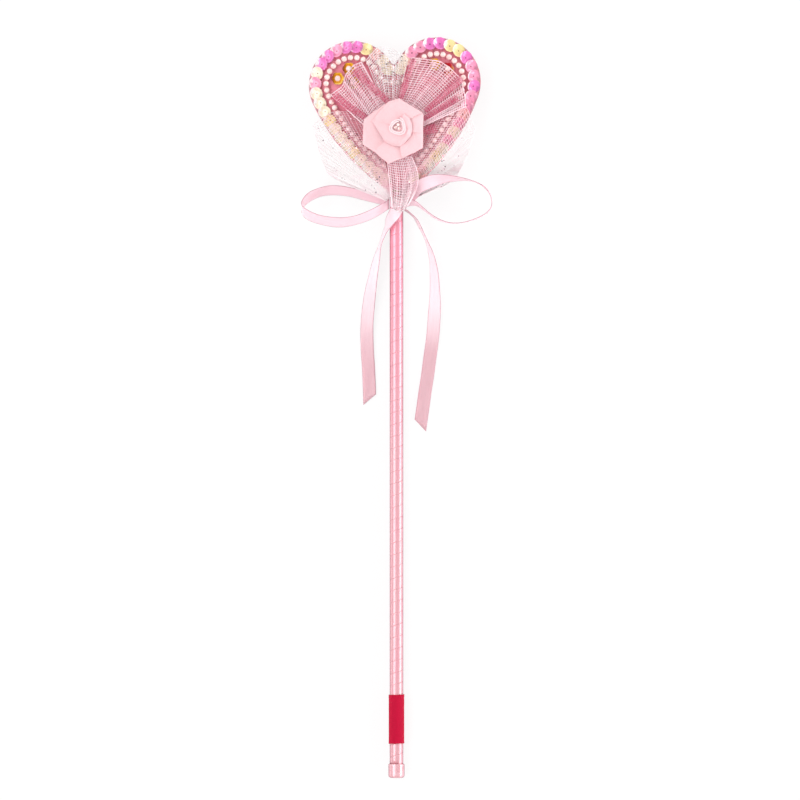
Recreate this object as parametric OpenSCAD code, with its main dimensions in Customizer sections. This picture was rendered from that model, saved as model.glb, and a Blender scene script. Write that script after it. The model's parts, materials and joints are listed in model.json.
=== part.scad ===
// Toy magic wand: a padded satin heart on a ribbon-wound dowel, trimmed with sequins, pearls,
// gathered tulle, a folded ribbon rose and a ribbon bow.
// The wand lies on its back: +Z is the way the heart faces, +Y runs up the dowel to the heart,
// and the origin is the middle of the heart's flat back.

/* [Dowel] */
// Diameter of the wooden dowel
rod_d = 6; // [4:0.5:6.5]
// Thickness of the satin ribbon wound on the dowel
wrap_t = 0.55; // [0.3:0.05:1]
// Distance from the middle of the heart to the butt of the wand
butt_reach = 355.5; // [250:0.5:420]
// Depth of the dowel inside the heart
socket_depth = 34; // [20:1:44]

/* [End cap] */
// Diameter of the end cap
cap_d = 8.7; // [8:0.1:12]
// Length of the end cap
cap_l = 7.6; // [6:0.2:14]
// Thickness of the cap's closed end
cap_floor = 2.6; // [1.5:0.1:4]
// Rounding of the cap's closed end
cap_round = 1.4; // [0.5:0.1:2]
// Rounding of the cap's open rim
cap_rim_round = 0.4; // [0.2:0.1:0.6]

/* [Label] */
// Length of the woven label along the dowel
label_l = 27.6; // [10:0.2:40]
// Thickness of the label
label_t = 0.5; // [0.2:0.05:0.7]
// Distance from the butt to the label's lower edge
label_rise = 18; // [14:0.5:60]

/* [Heart] */
// Radius of the two lobes
lobe_r = 24; // [20:0.5:30]
// Height of the cleft above the lobes' centres
cleft_rise = 8.3; // [5:0.1:11]
// Height of the lobes' centres above the middle of the heart
lobe_y = 20; // [16:0.5:26]
// Radius of the long curve of each flank
flank_r = 113; // [95:1:160]
// Drop from the lobes' centres to the point where the flanks would meet
tip_drop = 61.7; // [56:0.1:68]
// Width of the cut tip, where the dowel goes in
mouth_w = 10; // [9:0.5:16]
// Fillet at the bottom of the cleft
cleft_fillet = 0.6; // [0.3:0.1:1.5]
// Lean of the heart on the dowel, in degrees
heart_lean = 2.6; // [0:0.2:5]
// Thickness of the back cover
back_t = 0.8; // [0.5:0.1:2]
// Thickness of the foam board
board_t = 7.1; // [7:0.1:12]
// Height of the wadding over the board
crown = 5.5; // [3:0.5:9]
// Width of the rounded shoulder of the wadding
shoulder = 13; // [11:0.5:15]
// Thickness of the satin front cover
cover_t = 0.5; // [0.3:0.1:0.8]

/* [Sequins] */
// Diameter of a cup sequin
sequin_d = 6.5; // [5:0.1:7]
// Thickness of a sequin
sequin_t = 0.25; // [0.15:0.05:0.4]
// Depth of the cup
sequin_cup = 0.5; // [0.3:0.1:0.8]
// Diameter of the flat middle
sequin_flat_d = 2.8; // [2:0.1:3.5]
// Diameter of the stitch hole
sequin_hole_d = 0.9; // [0.6:0.1:1.4]
// Spacing of the sequins along the edge
sequin_pitch = 5.3; // [5:0.1:8]
// Distance of the sequins' centres from the edge of the heart
sequin_inset = 4; // [3:0.1:4.5]
// Lean of each sequin on its neighbour, in degrees
sequin_lap = 10; // [9:0.5:14]

/* [Pearls] */
// Diameter of a pearl
pearl_d = 3.2; // [2:0.1:3.3]
// Spacing of the pearls along the row
pearl_pitch = 3.4; // [3.4:0.1:6]
// Distance of the pearls' centres from the edge of the heart
pearl_inset = 9.7; // [9.4:0.1:10.5]

/* [Flower cups] */
// Diameter of a flower cup
flower_d = 6.5; // [5:0.1:7]
// Depth of a flower cup
flower_cup = 1.1; // [0.6:0.1:1.4]
// Thickness of a flower cup
flower_t = 0.3; // [0.2:0.05:0.5]

/* [Tulle] */
// Thickness of a layer of tulle
tulle_t = 0.3; // [0.2:0.05:0.5]
// Reach of the white veil from the knot
veil_reach = 62.5; // [45:0.5:70]
// Reach of the pink net bow from the rose
net_reach = 46; // [34:0.5:50]
// Length of the pink net tail, from the knot up to the rose
net_tail_reach = 29; // [24:0.5:30]
// Width of the pink net tail at the knot
net_tail_w = 10; // [7:0.5:12]
// Depth of the pleats
pleat_depth = 1.5; // [0.6:0.1:2.2]

/* [Rose] */
// Radius of the rose over its corners
rose_r = 18; // [14:0.5:20]
// Height of the rose's fold steps, from the lowest petal to the bud
rose_h = 5.4; // [4:0.2:8]
// Thickness of a folded petal
petal_t = 0.75; // [0.4:0.05:0.8]
// Thickness of the felt pad under the rose
felt_t = 0.8; // [0.5:0.1:1.5]
// Radius of the felt pad
felt_r = 11; // [8:0.5:13]
// Radius of the rolled bud
bud_r = 5; // [4:0.1:5.4]
// Height of the rolled bud
bud_h = 2.4; // [1.6:0.1:4]
// Thickness of the bud's rolled ribbon
bud_wall_t = 0.5; // [0.3:0.05:0.5]
// Diameter of a bead in the bud
bud_bead_d = 1.9; // [1.2:0.1:2]

/* [Bow] */
// Width of the satin ribbon
ribbon_w = 7; // [5:0.5:7.5]
// Thickness of the satin ribbon
ribbon_t = 0.35; // [0.2:0.05:0.4]
// Distance of the knot below the middle of the heart
knot_drop = 44.5; // [44:0.1:46]
// Radius of the knot
knot_r = 3.2; // [2.4:0.1:3.4]

/* [Hidden] */
$fn = 64;

// Fits: a glued fit, a seat of one piece on another, and the overrun of a cut
fit_gap = 0.05;
seat_gap = 0.3;
cut_over = 1;

// Heights
axis_z = back_t + board_t / 2;
board_top = back_t + board_t;
cover_top = board_top + crown + cover_t;
wrap_r = rod_d / 2 + fit_gap + wrap_t;
pearl_top = cover_top + seat_gap / 2 + pearl_d;
flower_top = cover_top + seat_gap + flower_t + pearl_d;
veil_z = pearl_top + seat_gap + tulle_t;
net_z = max(veil_z, flower_top + seat_gap + tulle_t);
knot_z = axis_z + wrap_r + seat_gap / 2 + knot_r;
gather_z = knot_z + knot_r + seat_gap + tulle_t;

// Heart outline: two lobes, a filleted cleft, and flank curves tangent to the lobes
lobe_x = sqrt(pow(lobe_r, 2) - pow(cleft_rise, 2));
cleft_h = sqrt(pow(lobe_r + cleft_fillet, 2) - pow(lobe_x, 2));
cleft_angle = atan2(cleft_h, lobe_x);
flank_k = flank_r - lobe_r;
flank_a = -2 * lobe_x * flank_k;
flank_b = 2 * flank_k * tip_drop;
flank_s = pow(flank_r, 2) - pow(lobe_x, 2) - pow(flank_k, 2) - pow(tip_drop, 2);
flank_start = asin(flank_s / norm([flank_a, flank_b])) - atan2(flank_a, flank_b);
flank_c = [lobe_x - flank_k * cos(flank_start), lobe_y + flank_k * sin(flank_start)];
function flank_end(inset) = acos((mouth_w / 2 - flank_c.x) / (flank_r - inset));
mouth_y = flank_c.y - flank_r * sin(flank_end(0));
crown_y = -lobe_y / 2;

// Pieces of each curve of the faceted outline, and of the shoulder
cleft_parts = 3;
lobe_parts = 16;
flank_parts = 7;
shoulder_parts = 5;

function arc(c, r, from, to, parts, first = 0) =
    [for (i = [first:parts]) let (a = from + (to - from) * i / parts) c + r * [cos(a), sin(a)]];

// Right half of the outline, from the cleft to the mouth, moved in from the edge by inset
function half_outline(inset) = concat(
    arc([0, lobe_y + cleft_h], cleft_fillet + inset, -90, -cleft_angle, cleft_parts),
    arc([lobe_x, lobe_y], lobe_r - inset, 180 - cleft_angle, -flank_start, lobe_parts, 1),
    arc(flank_c, flank_r - inset, -flank_start, -flank_end(inset), flank_parts, 1)
);

function reversed(list) = [for (i = [len(list) - 1:-1:0]) list[i]];

// Whole outline, counter-clockwise from the cleft, at height z
function ring(inset, z) = let (half = half_outline(inset), n = len(half)) concat(
    [for (p = half) [-p.x, p.y, z]],
    [for (i = [n - 1:-1:1]) [half[i].x, half[i].y, z]]
);

// Rings over the rounded shoulder, from the board's top to the flat crown
function shoulder_rings(inset, height) = [
    for (i = [0:shoulder_parts])
    let (a = 90 * i / shoulder_parts)
    ring(inset + shoulder * (1 - cos(a)), board_top + height * sin(a))
];

// Height and outward tilt of the front cover at a distance from the edge
function shoulder_angle(inset) = acos(1 - min(inset / shoulder, 1));
function cover_z(inset) = board_top + (crown + cover_t) * sin(shoulder_angle(inset));
function cover_tilt(inset) =
    atan2((crown + cover_t) * cos(shoulder_angle(inset)), shoulder * sin(shoulder_angle(inset)));

// Closed skin through rings of points, with a fan to a point at each end
module loft(rings, start, end) {
    n = len(rings[0]);
    last = n * len(rings);
    points = concat([for (r = rings) each r], [start, end]);
    sides = [
        for (i = [0:len(rings) - 2], j = [0:n - 1])
        let (a = i * n + j, b = i * n + (j + 1) % n)
        each [[a, a + n, b + n], [a, b + n, b]]
    ];
    start_fan = [for (j = [0:n - 1]) [last, j, (j + 1) % n]];
    end_fan = [for (j = [0:n - 1]) [last + 1, last - n + (j + 1) % n, last - n + j]];
    polyhedron(points, concat(sides, start_fan, end_fan));
}

// Closed sheet of thickness t under a grid of points: rows turn counter-clockwise, columns run outward
module sheet(grid, t) {
    rows = len(grid);
    cols = len(grid[0]);
    n = rows * cols;
    top = [for (row = grid) each row];
    low = [for (p = top) p - [0, 0, t]];
    cells = [for (i = [0:rows - 2], j = [0:cols - 2]) i * cols + j];
    upper_faces = [for (a = cells) each [[a, a + cols, a + cols + 1], [a, a + cols + 1, a + 1]]];
    lower_faces = [for (f = upper_faces) [f[0] + n, f[2] + n, f[1] + n]];
    rim = concat(
        [for (j = [0:cols - 1]) j],
        [for (i = [1:rows - 1]) i * cols + cols - 1],
        [for (j = [cols - 2:-1:0]) (rows - 1) * cols + j],
        [for (i = [rows - 2:-1:1]) i * cols]
    );
    rim_faces = [
        for (k = [0:len(rim) - 1])
        let (a = rim[k], b = rim[(k + 1) % len(rim)])
        each [[a, b, b + n], [a, b + n, a + n]]
    ];
    polyhedron(concat(top, low), concat(upper_faces, lower_faces, rim_faces));
}

// Things in the heart's own frame, which leans on the dowel
module in_heart() {
    rotate([0, 0, heart_lean]) children();
}

// Exact outline of the heart, moved in from the edge
module heart_2d(inset) {
    joint = flank_c + flank_r * [cos(flank_start), -sin(flank_start)] * (1 + cut_over / flank_r);
    for (side = [-1, 1]) {
        translate([side * lobe_x, lobe_y]) circle(r = lobe_r - inset);
    }
    intersection() {
        translate(flank_c) circle(r = flank_r - inset);
        translate([-flank_c.x, flank_c.y]) circle(r = flank_r - inset);
        polygon([
            [0, lobe_y], [lobe_x, lobe_y], joint, [joint.x, mouth_y + inset],
            [-joint.x, mouth_y + inset], [-joint.x, joint.y], [-lobe_x, lobe_y]
        ]);
    }
}

// Cylinder along the dowel, between two places on it
module along_rod(d, from_y, to_y) {
    translate([0, to_y, axis_z]) rotate([90, 0, 0]) cylinder(d = d, h = to_y - from_y);
}

module rod_core() {
    color("burlywood") along_rod(rod_d, -butt_reach + cap_floor, mouth_y + socket_depth);
}

module rod_wrap() {
    low_y = -butt_reach + cap_l;
    high_y = mouth_y - seat_gap;
    color("#f4c8d2") difference() {
        along_rod(2 * wrap_r, low_y, high_y);
        along_rod(rod_d + 2 * fit_gap, low_y - cut_over, high_y + cut_over);
    }
}

module end_cap() {
    r = cap_d / 2;
    bore_r = rod_d / 2 + fit_gap;
    color("#f6d3da") translate([0, -butt_reach, axis_z]) rotate([-90, 0, 0]) difference() {
        union() {
            cylinder(r = r - cap_round, h = cap_l);
            translate([0, 0, cap_round]) cylinder(r = r, h = cap_l - cap_round - cap_rim_round);
            translate([0, 0, cap_round]) rotate_extrude() {
                translate([r - cap_round, 0]) circle(r = cap_round);
            }
            translate([0, 0, cap_l - cap_rim_round]) rotate_extrude() {
                translate([r - cap_rim_round, 0]) circle(r = cap_rim_round);
            }
        }
        translate([0, 0, cap_floor]) cylinder(r = bore_r, h = cap_l);
    }
}

module label_band() {
    low_y = -butt_reach + label_rise;
    color("crimson") difference() {
        along_rod(2 * (wrap_r + fit_gap + label_t), low_y, low_y + label_l);
        along_rod(2 * (wrap_r + fit_gap), low_y - cut_over, low_y + label_l + cut_over);
    }
}

module heart_back_cover() {
    color("#ee9fb6") in_heart() linear_extrude(back_t) heart_2d(0);
}

module heart_board() {
    color("white") difference() {
        in_heart() translate([0, 0, back_t]) linear_extrude(board_t) heart_2d(cover_t + seat_gap);
        along_rod(rod_d + 2 * fit_gap, mouth_y - cut_over, mouth_y + socket_depth + fit_gap);
    }
}

module heart_wadding() {
    inset = cover_t + seat_gap;
    height = crown - fit_gap;
    color("ivory") in_heart()
        loft(shoulder_rings(inset, height), [0, crown_y, board_top], [0, crown_y, board_top + height]);
}

module heart_front_cover() {
    outer = concat([ring(0, back_t)], shoulder_rings(0, crown + cover_t));
    inner = concat([ring(cover_t, back_t)], shoulder_rings(cover_t, crown));
    color("#ee9fb6") difference() {
        in_heart() loft(
            concat(reversed(inner), outer),
            [0, crown_y, board_top + crown], [0, crown_y, cover_top]
        );
        along_rod(rod_d + 2 * seat_gap, mouth_y - cut_over, mouth_y + cut_over);
    }
}

// Place on the row at a distance from the edge: [x, y, direction out of the heart]
cleft_turn = 90 - cleft_angle;
lobe_turn = 180 - cleft_angle + flank_start;
function cleft_run(inset) = (cleft_fillet + inset) * cleft_turn * PI / 180;
function lobe_run(inset) = (lobe_r - inset) * lobe_turn * PI / 180;
function flank_run(inset) = (flank_r - inset) * (flank_end(inset) - flank_start) * PI / 180;
function row_run(inset) = cleft_run(inset) + lobe_run(inset) + flank_run(inset);
function on_arc(c, r, a, outward) = [c.x + r * cos(a), c.y + r * sin(a), a + outward];
function on_cleft(inset, share) =
    on_arc([0, lobe_y + cleft_h], cleft_fillet + inset, -90 + cleft_turn * share, 180);
function on_lobe(inset, share) =
    on_arc([lobe_x, lobe_y], lobe_r - inset, 180 - cleft_angle - lobe_turn * share, 0);
function on_flank(inset, s) =
    on_arc(flank_c, flank_r - inset, -flank_start - s / (flank_r - inset) * 180 / PI, 0);
function row_place(inset, s) =
    let (s_lobe = s - cleft_run(inset), s_flank = s_lobe - lobe_run(inset))
    s_lobe < 0 ? on_cleft(inset, s / cleft_run(inset)) :
    s_flank < 0 ? on_lobe(inset, s_lobe / lobe_run(inset)) :
    on_flank(inset, s_flank);

// A row of pieces along the right edge of the heart, seated on the front cover
module edge_row(inset, pitch, start, end) {
    run = row_run(inset) - start - end;
    count = floor(run / pitch);
    for (i = [0:count]) {
        place = row_place(inset, start + run * i / count);
        translate([place.x, place.y, cover_z(inset)]) rotate([0, 0, place.z])
            rotate([0, cover_tilt(inset), 0]) children();
    }
}

module cup_sequin() {
    r = sequin_d / 2;
    flat_r = sequin_flat_d / 2;
    lift = flat_r * sin(sequin_lap) + seat_gap;
    translate([0, 0, lift]) rotate([sequin_lap, 0, 0]) rotate_extrude($fn = 32) polygon([
        [sequin_hole_d / 2, 0], [flat_r, 0], [r, sequin_cup],
        [r, sequin_cup + sequin_t], [flat_r, sequin_t], [sequin_hole_d / 2, sequin_t]
    ]);
}

module sequin_row() {
    half_gap = sequin_d / 2 + seat_gap;
    bend = cleft_fillet + sequin_inset;
    start = bend * asin(min(1, half_gap / bend)) * PI / 180;
    edge_row(sequin_inset, sequin_pitch, start, half_gap) cup_sequin();
}

module edge_sequins_right() {
    color("#f7a8d0") in_heart() sequin_row();
}

module edge_sequins_left() {
    color("#f7a8d0") in_heart() mirror([1, 0, 0]) sequin_row();
}

module pearl() {
    translate([0, 0, seat_gap / 2 + pearl_d / 2]) sphere(d = pearl_d, $fn = 24);
}

module pearl_line() {
    edge_row(pearl_inset, pearl_pitch, pearl_pitch / 2, pearl_pitch) pearl();
}

module pearl_row_right() {
    color("#fbe9e2") in_heart() pearl_line();
}

module pearl_row_left() {
    color("#fbe9e2") in_heart() mirror([1, 0, 0]) pearl_line();
}

// Flower cups on the crown, as shares of the lobe radius from each lobe's centre
gold_left_shares = [[-0.34, 0.15], [-0.08, 0.36], [0, 0.04]];
gold_right_shares = [[-0.04, 0.37]];
red_right_shares = [[0.26, 0.26]];
flower_petals = 6;
flower_petal_share = 0.33;

module on_crown(shares, side) {
    for (share = shares) {
        translate([side * lobe_x + share.x * lobe_r, lobe_y + share.y * lobe_r, cover_top + seat_gap])
            children();
    }
}

// Cup with a scalloped rim, one scallop for each petal
module flower_cup_solid() {
    r = flower_d / 2;
    petal_r = flower_petal_share * r;
    rim_r = r - petal_r;
    rotate_extrude($fn = 32) polygon([
        [0, 0], [sequin_flat_d / 2, 0], [rim_r, flower_cup],
        [rim_r, flower_cup + flower_t], [sequin_flat_d / 2, flower_t], [0, flower_t]
    ]);
    translate([0, 0, flower_cup]) linear_extrude(flower_t) difference() {
        for (i = [0:flower_petals - 1]) {
            rotate(360 * i / flower_petals) translate([rim_r, 0]) circle(r = petal_r, $fn = 24);
        }
        circle(r = rim_r - flower_t);
    }
}

module flower_cups_gold() {
    color("goldenrod") in_heart() {
        on_crown(gold_left_shares, -1) flower_cup_solid();
        on_crown(gold_right_shares, 1) flower_cup_solid();
    }
}

module flower_cups_red() {
    color("firebrick") in_heart() on_crown(red_right_shares, 1) flower_cup_solid();
}

module flower_pearl() {
    translate([0, 0, flower_t + fit_gap + pearl_d / 2]) sphere(d = pearl_d, $fn = 24);
}

module flower_pearls() {
    color("#fbe9e2") in_heart() {
        on_crown(gold_left_shares, -1) flower_pearl();
        on_crown(gold_right_shares, 1) flower_pearl();
        on_crown(red_right_shares, 1) flower_pearl();
    }
}

// Gathered fan of tulle: reach_shares give [direction in degrees, share of the reach]
fan_steps = 4;
pleat_steps = 8;
pleat_root_share = 0.35;
module tulle_fan(centre, inner_r, rise_r, z_in, z_out, reach, reach_shares, pleats) {
    from = reach_shares[0][0];
    to = reach_shares[len(reach_shares) - 1][0];
    steps = pleats * pleat_steps;
    sheet([
        for (i = [0:steps])
        let (a = from + (to - from) * i / steps, edge = reach * lookup(a, reach_shares))
        let (fold = pleat_depth * (1 - cos(360 * pleats * i / steps)) / 2)
        [
            for (j = [0:fan_steps])
            let (share = j / fan_steps, r = inner_r + (edge - inner_r) * share)
            let (climb = sin(90 * min(1, (r - inner_r) / rise_r)))
            let (z = z_in + (z_out - z_in) * climb)
            [
                centre.x + r * cos(a), centre.y + r * sin(a),
                z + fold * (pleat_root_share + (1 - pleat_root_share) * share)
            ]
        ]
    ], tulle_t);
}

gather_centre = [0, -knot_drop - knot_r / 2];
gather_r_share = 1.8;
gather_rise_share = 6;
gather_r = gather_r_share * knot_r;
gather_rise = gather_rise_share * knot_r;
rose_centre_share = [-0.105, -0.33];
rose_centre = rose_centre_share * rose_r;
net_root_share = 0.4;
net_root_r = net_root_share * rose_r;

veil_left_shares = [[109, 0.72], [124, 0.86], [136, 1], [147, 0.78], [155, 0.66], [158, 0.5]];
veil_left_pleats = 5;
module veil_left() {
    color("#f6eef1") tulle_fan(
        gather_centre, gather_r, gather_rise, gather_z, veil_z, veil_reach,
        veil_left_shares, veil_left_pleats
    );
}

veil_right_shares = [
    [22, 0.46], [25, 0.56], [34, 0.73], [44, 0.94], [55, 0.98], [64, 0.84], [73, 0.74]
];
veil_right_pleats = 5;
module veil_right() {
    color("#f6eef1") tulle_fan(
        gather_centre, gather_r, gather_rise, gather_z, veil_z, veil_reach,
        veil_right_shares, veil_right_pleats
    );
}

veil_cleft_shares = [[79, 0.86], [90, 0.96], [100, 1], [111, 0.88]];
veil_cleft_pleats = 4;
module veil_cleft() {
    color("#f6eef1") tulle_fan(
        rose_centre, net_root_r, net_root_r, veil_z, veil_z, net_reach,
        veil_cleft_shares, veil_cleft_pleats
    );
}

net_left_shares = [[114, 0.88], [121, 0.89], [130, 0.85], [138, 0.78], [148, 0.86], [151, 0.8]];
net_left_pleats = 5;
module net_bow_left() {
    color("#f2a9bd") tulle_fan(
        rose_centre, net_root_r, net_root_r, net_z, net_z, net_reach,
        net_left_shares, net_left_pleats
    );
}

net_right_shares = [[19, 0.9], [26, 0.95], [37, 1], [48, 0.99], [56, 0.98], [76, 0.88]];
net_right_pleats = 7;
module net_bow_right() {
    color("#f2a9bd") tulle_fan(
        rose_centre, net_root_r, net_root_r, net_z, net_z, net_reach,
        net_right_shares, net_right_pleats
    );
}

// The tail lies over the veil's gathers, from the knot to the underside of the rose. It is a fan
// from a far centre, so it stays nearly as wide as it starts.
net_tail_pleats = 4;
net_tail_swing_share = 1.4;
net_tail_lift_share = 0.8;
net_tail_lift = net_tail_lift_share * pleat_depth;
module net_tail() {
    swing = net_tail_swing_share * net_tail_reach;
    centre = [net_tail_w / 5, -knot_drop - swing - knot_r];
    half = asin(net_tail_w / 2 / swing);
    color("#f2a9bd") tulle_fan(
        centre, swing, gather_rise, gather_z + net_tail_lift, net_z + net_tail_lift,
        swing + net_tail_reach, [[90 - half, 1], [90 + half, 1]], net_tail_pleats
    );
}

// The felt rests on the crests of the net's pleats
net_least_share = min([for (p = concat(net_left_shares, net_right_shares)) p[1]]);
felt_out_share = (felt_r - net_root_r) / (net_least_share * net_reach - net_root_r);
felt_fold_share = pleat_root_share + (1 - pleat_root_share) * felt_out_share;
felt_z = net_z + pleat_depth * felt_fold_share + seat_gap;
petal_z = felt_z + felt_t + petal_t + seat_gap;

module at_rose() {
    translate([rose_centre.x, rose_centre.y, petal_z]) children();
}

module rose_felt() {
    color("mistyrose") translate([rose_centre.x, rose_centre.y, felt_z])
        cylinder(r = felt_r, h = felt_t);
}

// A folded petal spans an inner and an outer fold line. Their points are shares of the rose's
// radius and height: [x, y, z]. Its middle swells by the puff.
petal_rows = 6;
petal_puff_share = 0.1;
function petal_point(share) = [share.x * rose_r, share.y * rose_r, share.z * rose_h];
function petal_grid(inner_shares, outer_shares) = [
    for (k = [0:len(inner_shares) - 1])
    let (p = petal_point(inner_shares[k]), q = petal_point(outer_shares[k]))
    [
        for (j = [0:petal_rows])
        let (v = j / petal_rows)
        p + (q - p) * v + [0, 0, petal_puff_share * rose_h * sin(180 * v)]
    ]
];

module petal(inner_shares, outer_shares) {
    color("#fbe0e4") at_rose() sheet(petal_grid(inner_shares, outer_shares), petal_t);
}

module rose_petal_left() {
    petal(
        [
            [-0.02, 0.4, 0.08], [-0.24, 0.3, 0.08], [-0.34, 0.1, 0.08],
            [-0.3, -0.12, 0.08], [-0.16, -0.26, 0.08]
        ],
        [[-0.16, 0.83, 0], [-0.55, 0.57, 0], [-0.87, 0.33, 0], [-0.91, -0.41, 0], [-0.47, -0.7, 0]]
    );
}

module rose_petal_low_left() {
    petal(
        [[-0.2, -0.27, 0.26], [-0.1, -0.31, 0.26], [0.05, -0.32, 0.26], [0.22, -0.34, 0.26]],
        [[-0.56, -0.62, 0.18], [-0.36, -0.82, 0.18], [-0.13, -0.99, 0.18], [0.33, -0.81, 0.18]]
    );
}

module rose_petal_low_right() {
    petal(
        [[0.18, -0.36, 0.44], [0.32, -0.29, 0.44], [0.42, -0.18, 0.44], [0.48, 0.02, 0.44]],
        [[0.27, -0.84, 0.36], [0.58, -0.69, 0.36], [0.89, -0.53, 0.36], [0.9, -0.02, 0.36]]
    );
}

module rose_petal_right() {
    petal(
        [[0.46, -0.06, 0.62], [0.46, 0.12, 0.62], [0.43, 0.24, 0.62], [0.36, 0.4, 0.62]],
        [[0.89, -0.09, 0.54], [0.9, 0.2, 0.54], [0.91, 0.49, 0.54], [0.6, 0.67, 0.54]]
    );
}

// The top petal and the wrap run in to the bud's rim: they list [direction from the bud, z] there
bud_centre_share = [0.135, 0.09];
wrap_z_share = 1.06;
function rim_shares(list) = [
    for (p = list)
    let (rim = (bud_r + seat_gap) / rose_r)
    [bud_centre_share.x + rim * cos(p[0]), bud_centre_share.y + rim * sin(p[0]), p[1]]
];

module rose_petal_top() {
    petal(
        rim_shares([[38, 0.82], [62, 0.86], [86, 0.9], [112, 0.9], [142, 0.86], [171, 0.8]]),
        [
            [0.87, 0.52, 0.72], [0.55, 0.72, 0.7], [0.17, 0.95, 0.62],
            [-0.14, 0.85, 0.54], [-0.4, 0.55, 0.47], [-0.63, 0.28, 0.42]
        ]
    );
}

module rose_inner_wrap() {
    petal(
        rim_shares([
            [174, 0.86], [212, 0.92], [240, 0.96], [268, 1], [296, 1.04],
            [322, 1.08], [350, 1.12], [376, 1.15], [402, 1.18], [430, 1.2]
        ]),
        [
            [-0.61, 0.24, 0.5], [-0.23, -0.34, 0.55], [-0.03, -0.45, 0.58], [0.2, -0.48, 0.68],
            [0.36, -0.35, 0.74], [0.52, -0.17, 0.86], [0.57, 0.01, 0.92], [0.55, 0.2, 0.96],
            [0.47, 0.38, 1.08], [0.33, 0.47, 1.12]
        ]
    );
}

// Rolled bud: a ribbon wall on a spiral that is a little three-cornered
bud_turns = 2;
bud_steps = 20;
bud_turn = 75;
bud_corner_share = 0.08;
bud_inner_share = 0.62;
function bud_point(a, offset) =
    let (grow = bud_inner_share + (1 - bud_inner_share) * a / (360 * bud_turns))
    let (r = bud_r * grow * (1 - bud_corner_share + bud_corner_share * cos(3 * a)) - offset)
    r * [cos(a), sin(a)];
module bud_spiral() {
    steps = bud_turns * bud_steps;
    angles = [for (i = [0:steps]) i * 360 / bud_steps];
    polygon(concat(
        [for (a = angles) bud_point(a, 0)],
        [for (a = reversed(angles)) bud_point(a, bud_wall_t)]
    ));
}

module at_bud() {
    spot = petal_point([bud_centre_share.x, bud_centre_share.y, wrap_z_share]);
    at_rose() translate(spot) rotate(bud_turn) children();
}

module rose_bud() {
    color("#fbe0e4") at_bud() {
        linear_extrude(bud_h) bud_spiral();
        translate([0, 0, -bud_wall_t]) cylinder(r = bud_r - bud_wall_t, h = bud_wall_t);
    }
}

bead_count = 3;
bead_ring_share = 0.62;
module rose_beads() {
    ring_r = bead_ring_share * bud_bead_d;
    color("#fdf3f0") at_bud() for (i = [0:bead_count - 1]) {
        rotate(360 * i / bead_count) translate([ring_r, 0, bud_bead_d / 2 + fit_gap])
            sphere(d = bud_bead_d, $fn = 24);
    }
}

// The knot, a band of ribbon rolled across the dowel
knot_round_share = 0.25;
module bow_knot() {
    round_r = knot_round_share * knot_r;
    half_w = ribbon_w / 2;
    color("#f8d3dc") translate([-half_w, -knot_drop, knot_z]) rotate([0, 90, 0]) {
        cylinder(r = knot_r - round_r, h = ribbon_w);
        translate([0, 0, round_r]) cylinder(r = knot_r, h = ribbon_w - 2 * round_r);
        for (z = [round_r, ribbon_w - round_r]) {
            translate([0, 0, z]) rotate_extrude() translate([knot_r - round_r, 0]) circle(r = round_r);
        }
    }
}

// Routes of the ribbon: [x, y, z, lean], where a lean of 0 lies flat and 90 stands on edge
loop_left_route = [
    [-3.9, -44.1, 10.9, 45], [-10, -42.6, 9.4, 45], [-17.5, -40.6, 7.4, 45], [-24, -39, 5.8, 45],
    [-30, -38, 4.8, 45], [-36, -37.8, 4.6, 45], [-40.5, -38.6, 5.4, 45], [-45, -40.4, 7.2, 45],
    [-48.4, -42.6, 9.4, 45], [-50.6, -45.2, 12, 45], [-51.2, -47.2, 14, 45], [-50.6, -49.2, 16, 45],
    [-48.6, -51, 17.8, 45], [-45, -52.8, 19.6, 45], [-40, -54.4, 21.2, 45], [-34, -55.4, 22.2, 45],
    [-28, -55.4, 22.2, 45], [-21.5, -54.2, 21, 45], [-14.5, -51.6, 18, 45], [-8.5, -48.3, 14, 45],
    [-3.9, -45.4, 11.2, 45]
];
loop_right_route = [
    [4, -44.1, 10.9, 45], [5.4, -43.9, 11, 45], [7.2, -42.2, 11.6, 34], [8.8, -39.6, 12.6, 18],
    [10.8, -37, 13.5, 8], [13.8, -35.1, 13.9, 3], [17.5, -33.7, 13.7, 4], [21, -32.7, 13, 22],
    [24.5, -32.2, 12.2, 45], [29, -31.8, 11.5, 62],
    [33.5, -31.8, 11, 74], [38, -32.3, 10.4, 82], [42.5, -33.5, 9.8, 88], [46, -35.2, 9.3, 90],
    [48.6, -37.4, 8.9, 90], [50.6, -40.4, 8.5, 90], [51.4, -43.6, 8.2, 90], [51.2, -46.5, 8, 90],
    [49.4, -49.3, 7.9, 90], [46.3, -51.6, 7.9, 90], [42, -53.6, 8, 90], [37, -55, 8.2, 90],
    [31.8, -55.5, 8.5, 90], [26.4, -55, 8.9, 88], [21, -52.8, 9.4, 86], [17, -50, 10, 84],
    [13, -46.8, 10.6, 78], [9.8, -45.1, 11.1, 68], [6.8, -44.6, 11.5, 56], [3.9, -44.9, 11.7, 45]
];
tail_left_route = [
    [-0.1, -48.2, 10.2, 6], [-0.4, -49.4, 10.1, 12], [-1.6, -51.4, 9.8, 24], [-3.6, -54.4, 9, 45],
    [-5.2, -57.8, 7.6, 65],
    [-6.6, -61, 6.6, 76], [-8, -65, 5.9, 78], [-9.6, -70, 5.3, 72], [-11.2, -77, 4.5, 58],
    [-12.7, -84.5, 3.6, 45], [-14.2, -93, 2.8, 32], [-15.4, -103, 1.8, 18], [-16, -111, 1.3, 10],
    [-16, -118, 1, 5], [-15.7, -126, 0.8, 2], [-15.2, -133, 0.7, 0], [-14.8, -142, 0.6, 0],
    [-14.5, -151, 0.6, 0]
];
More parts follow.
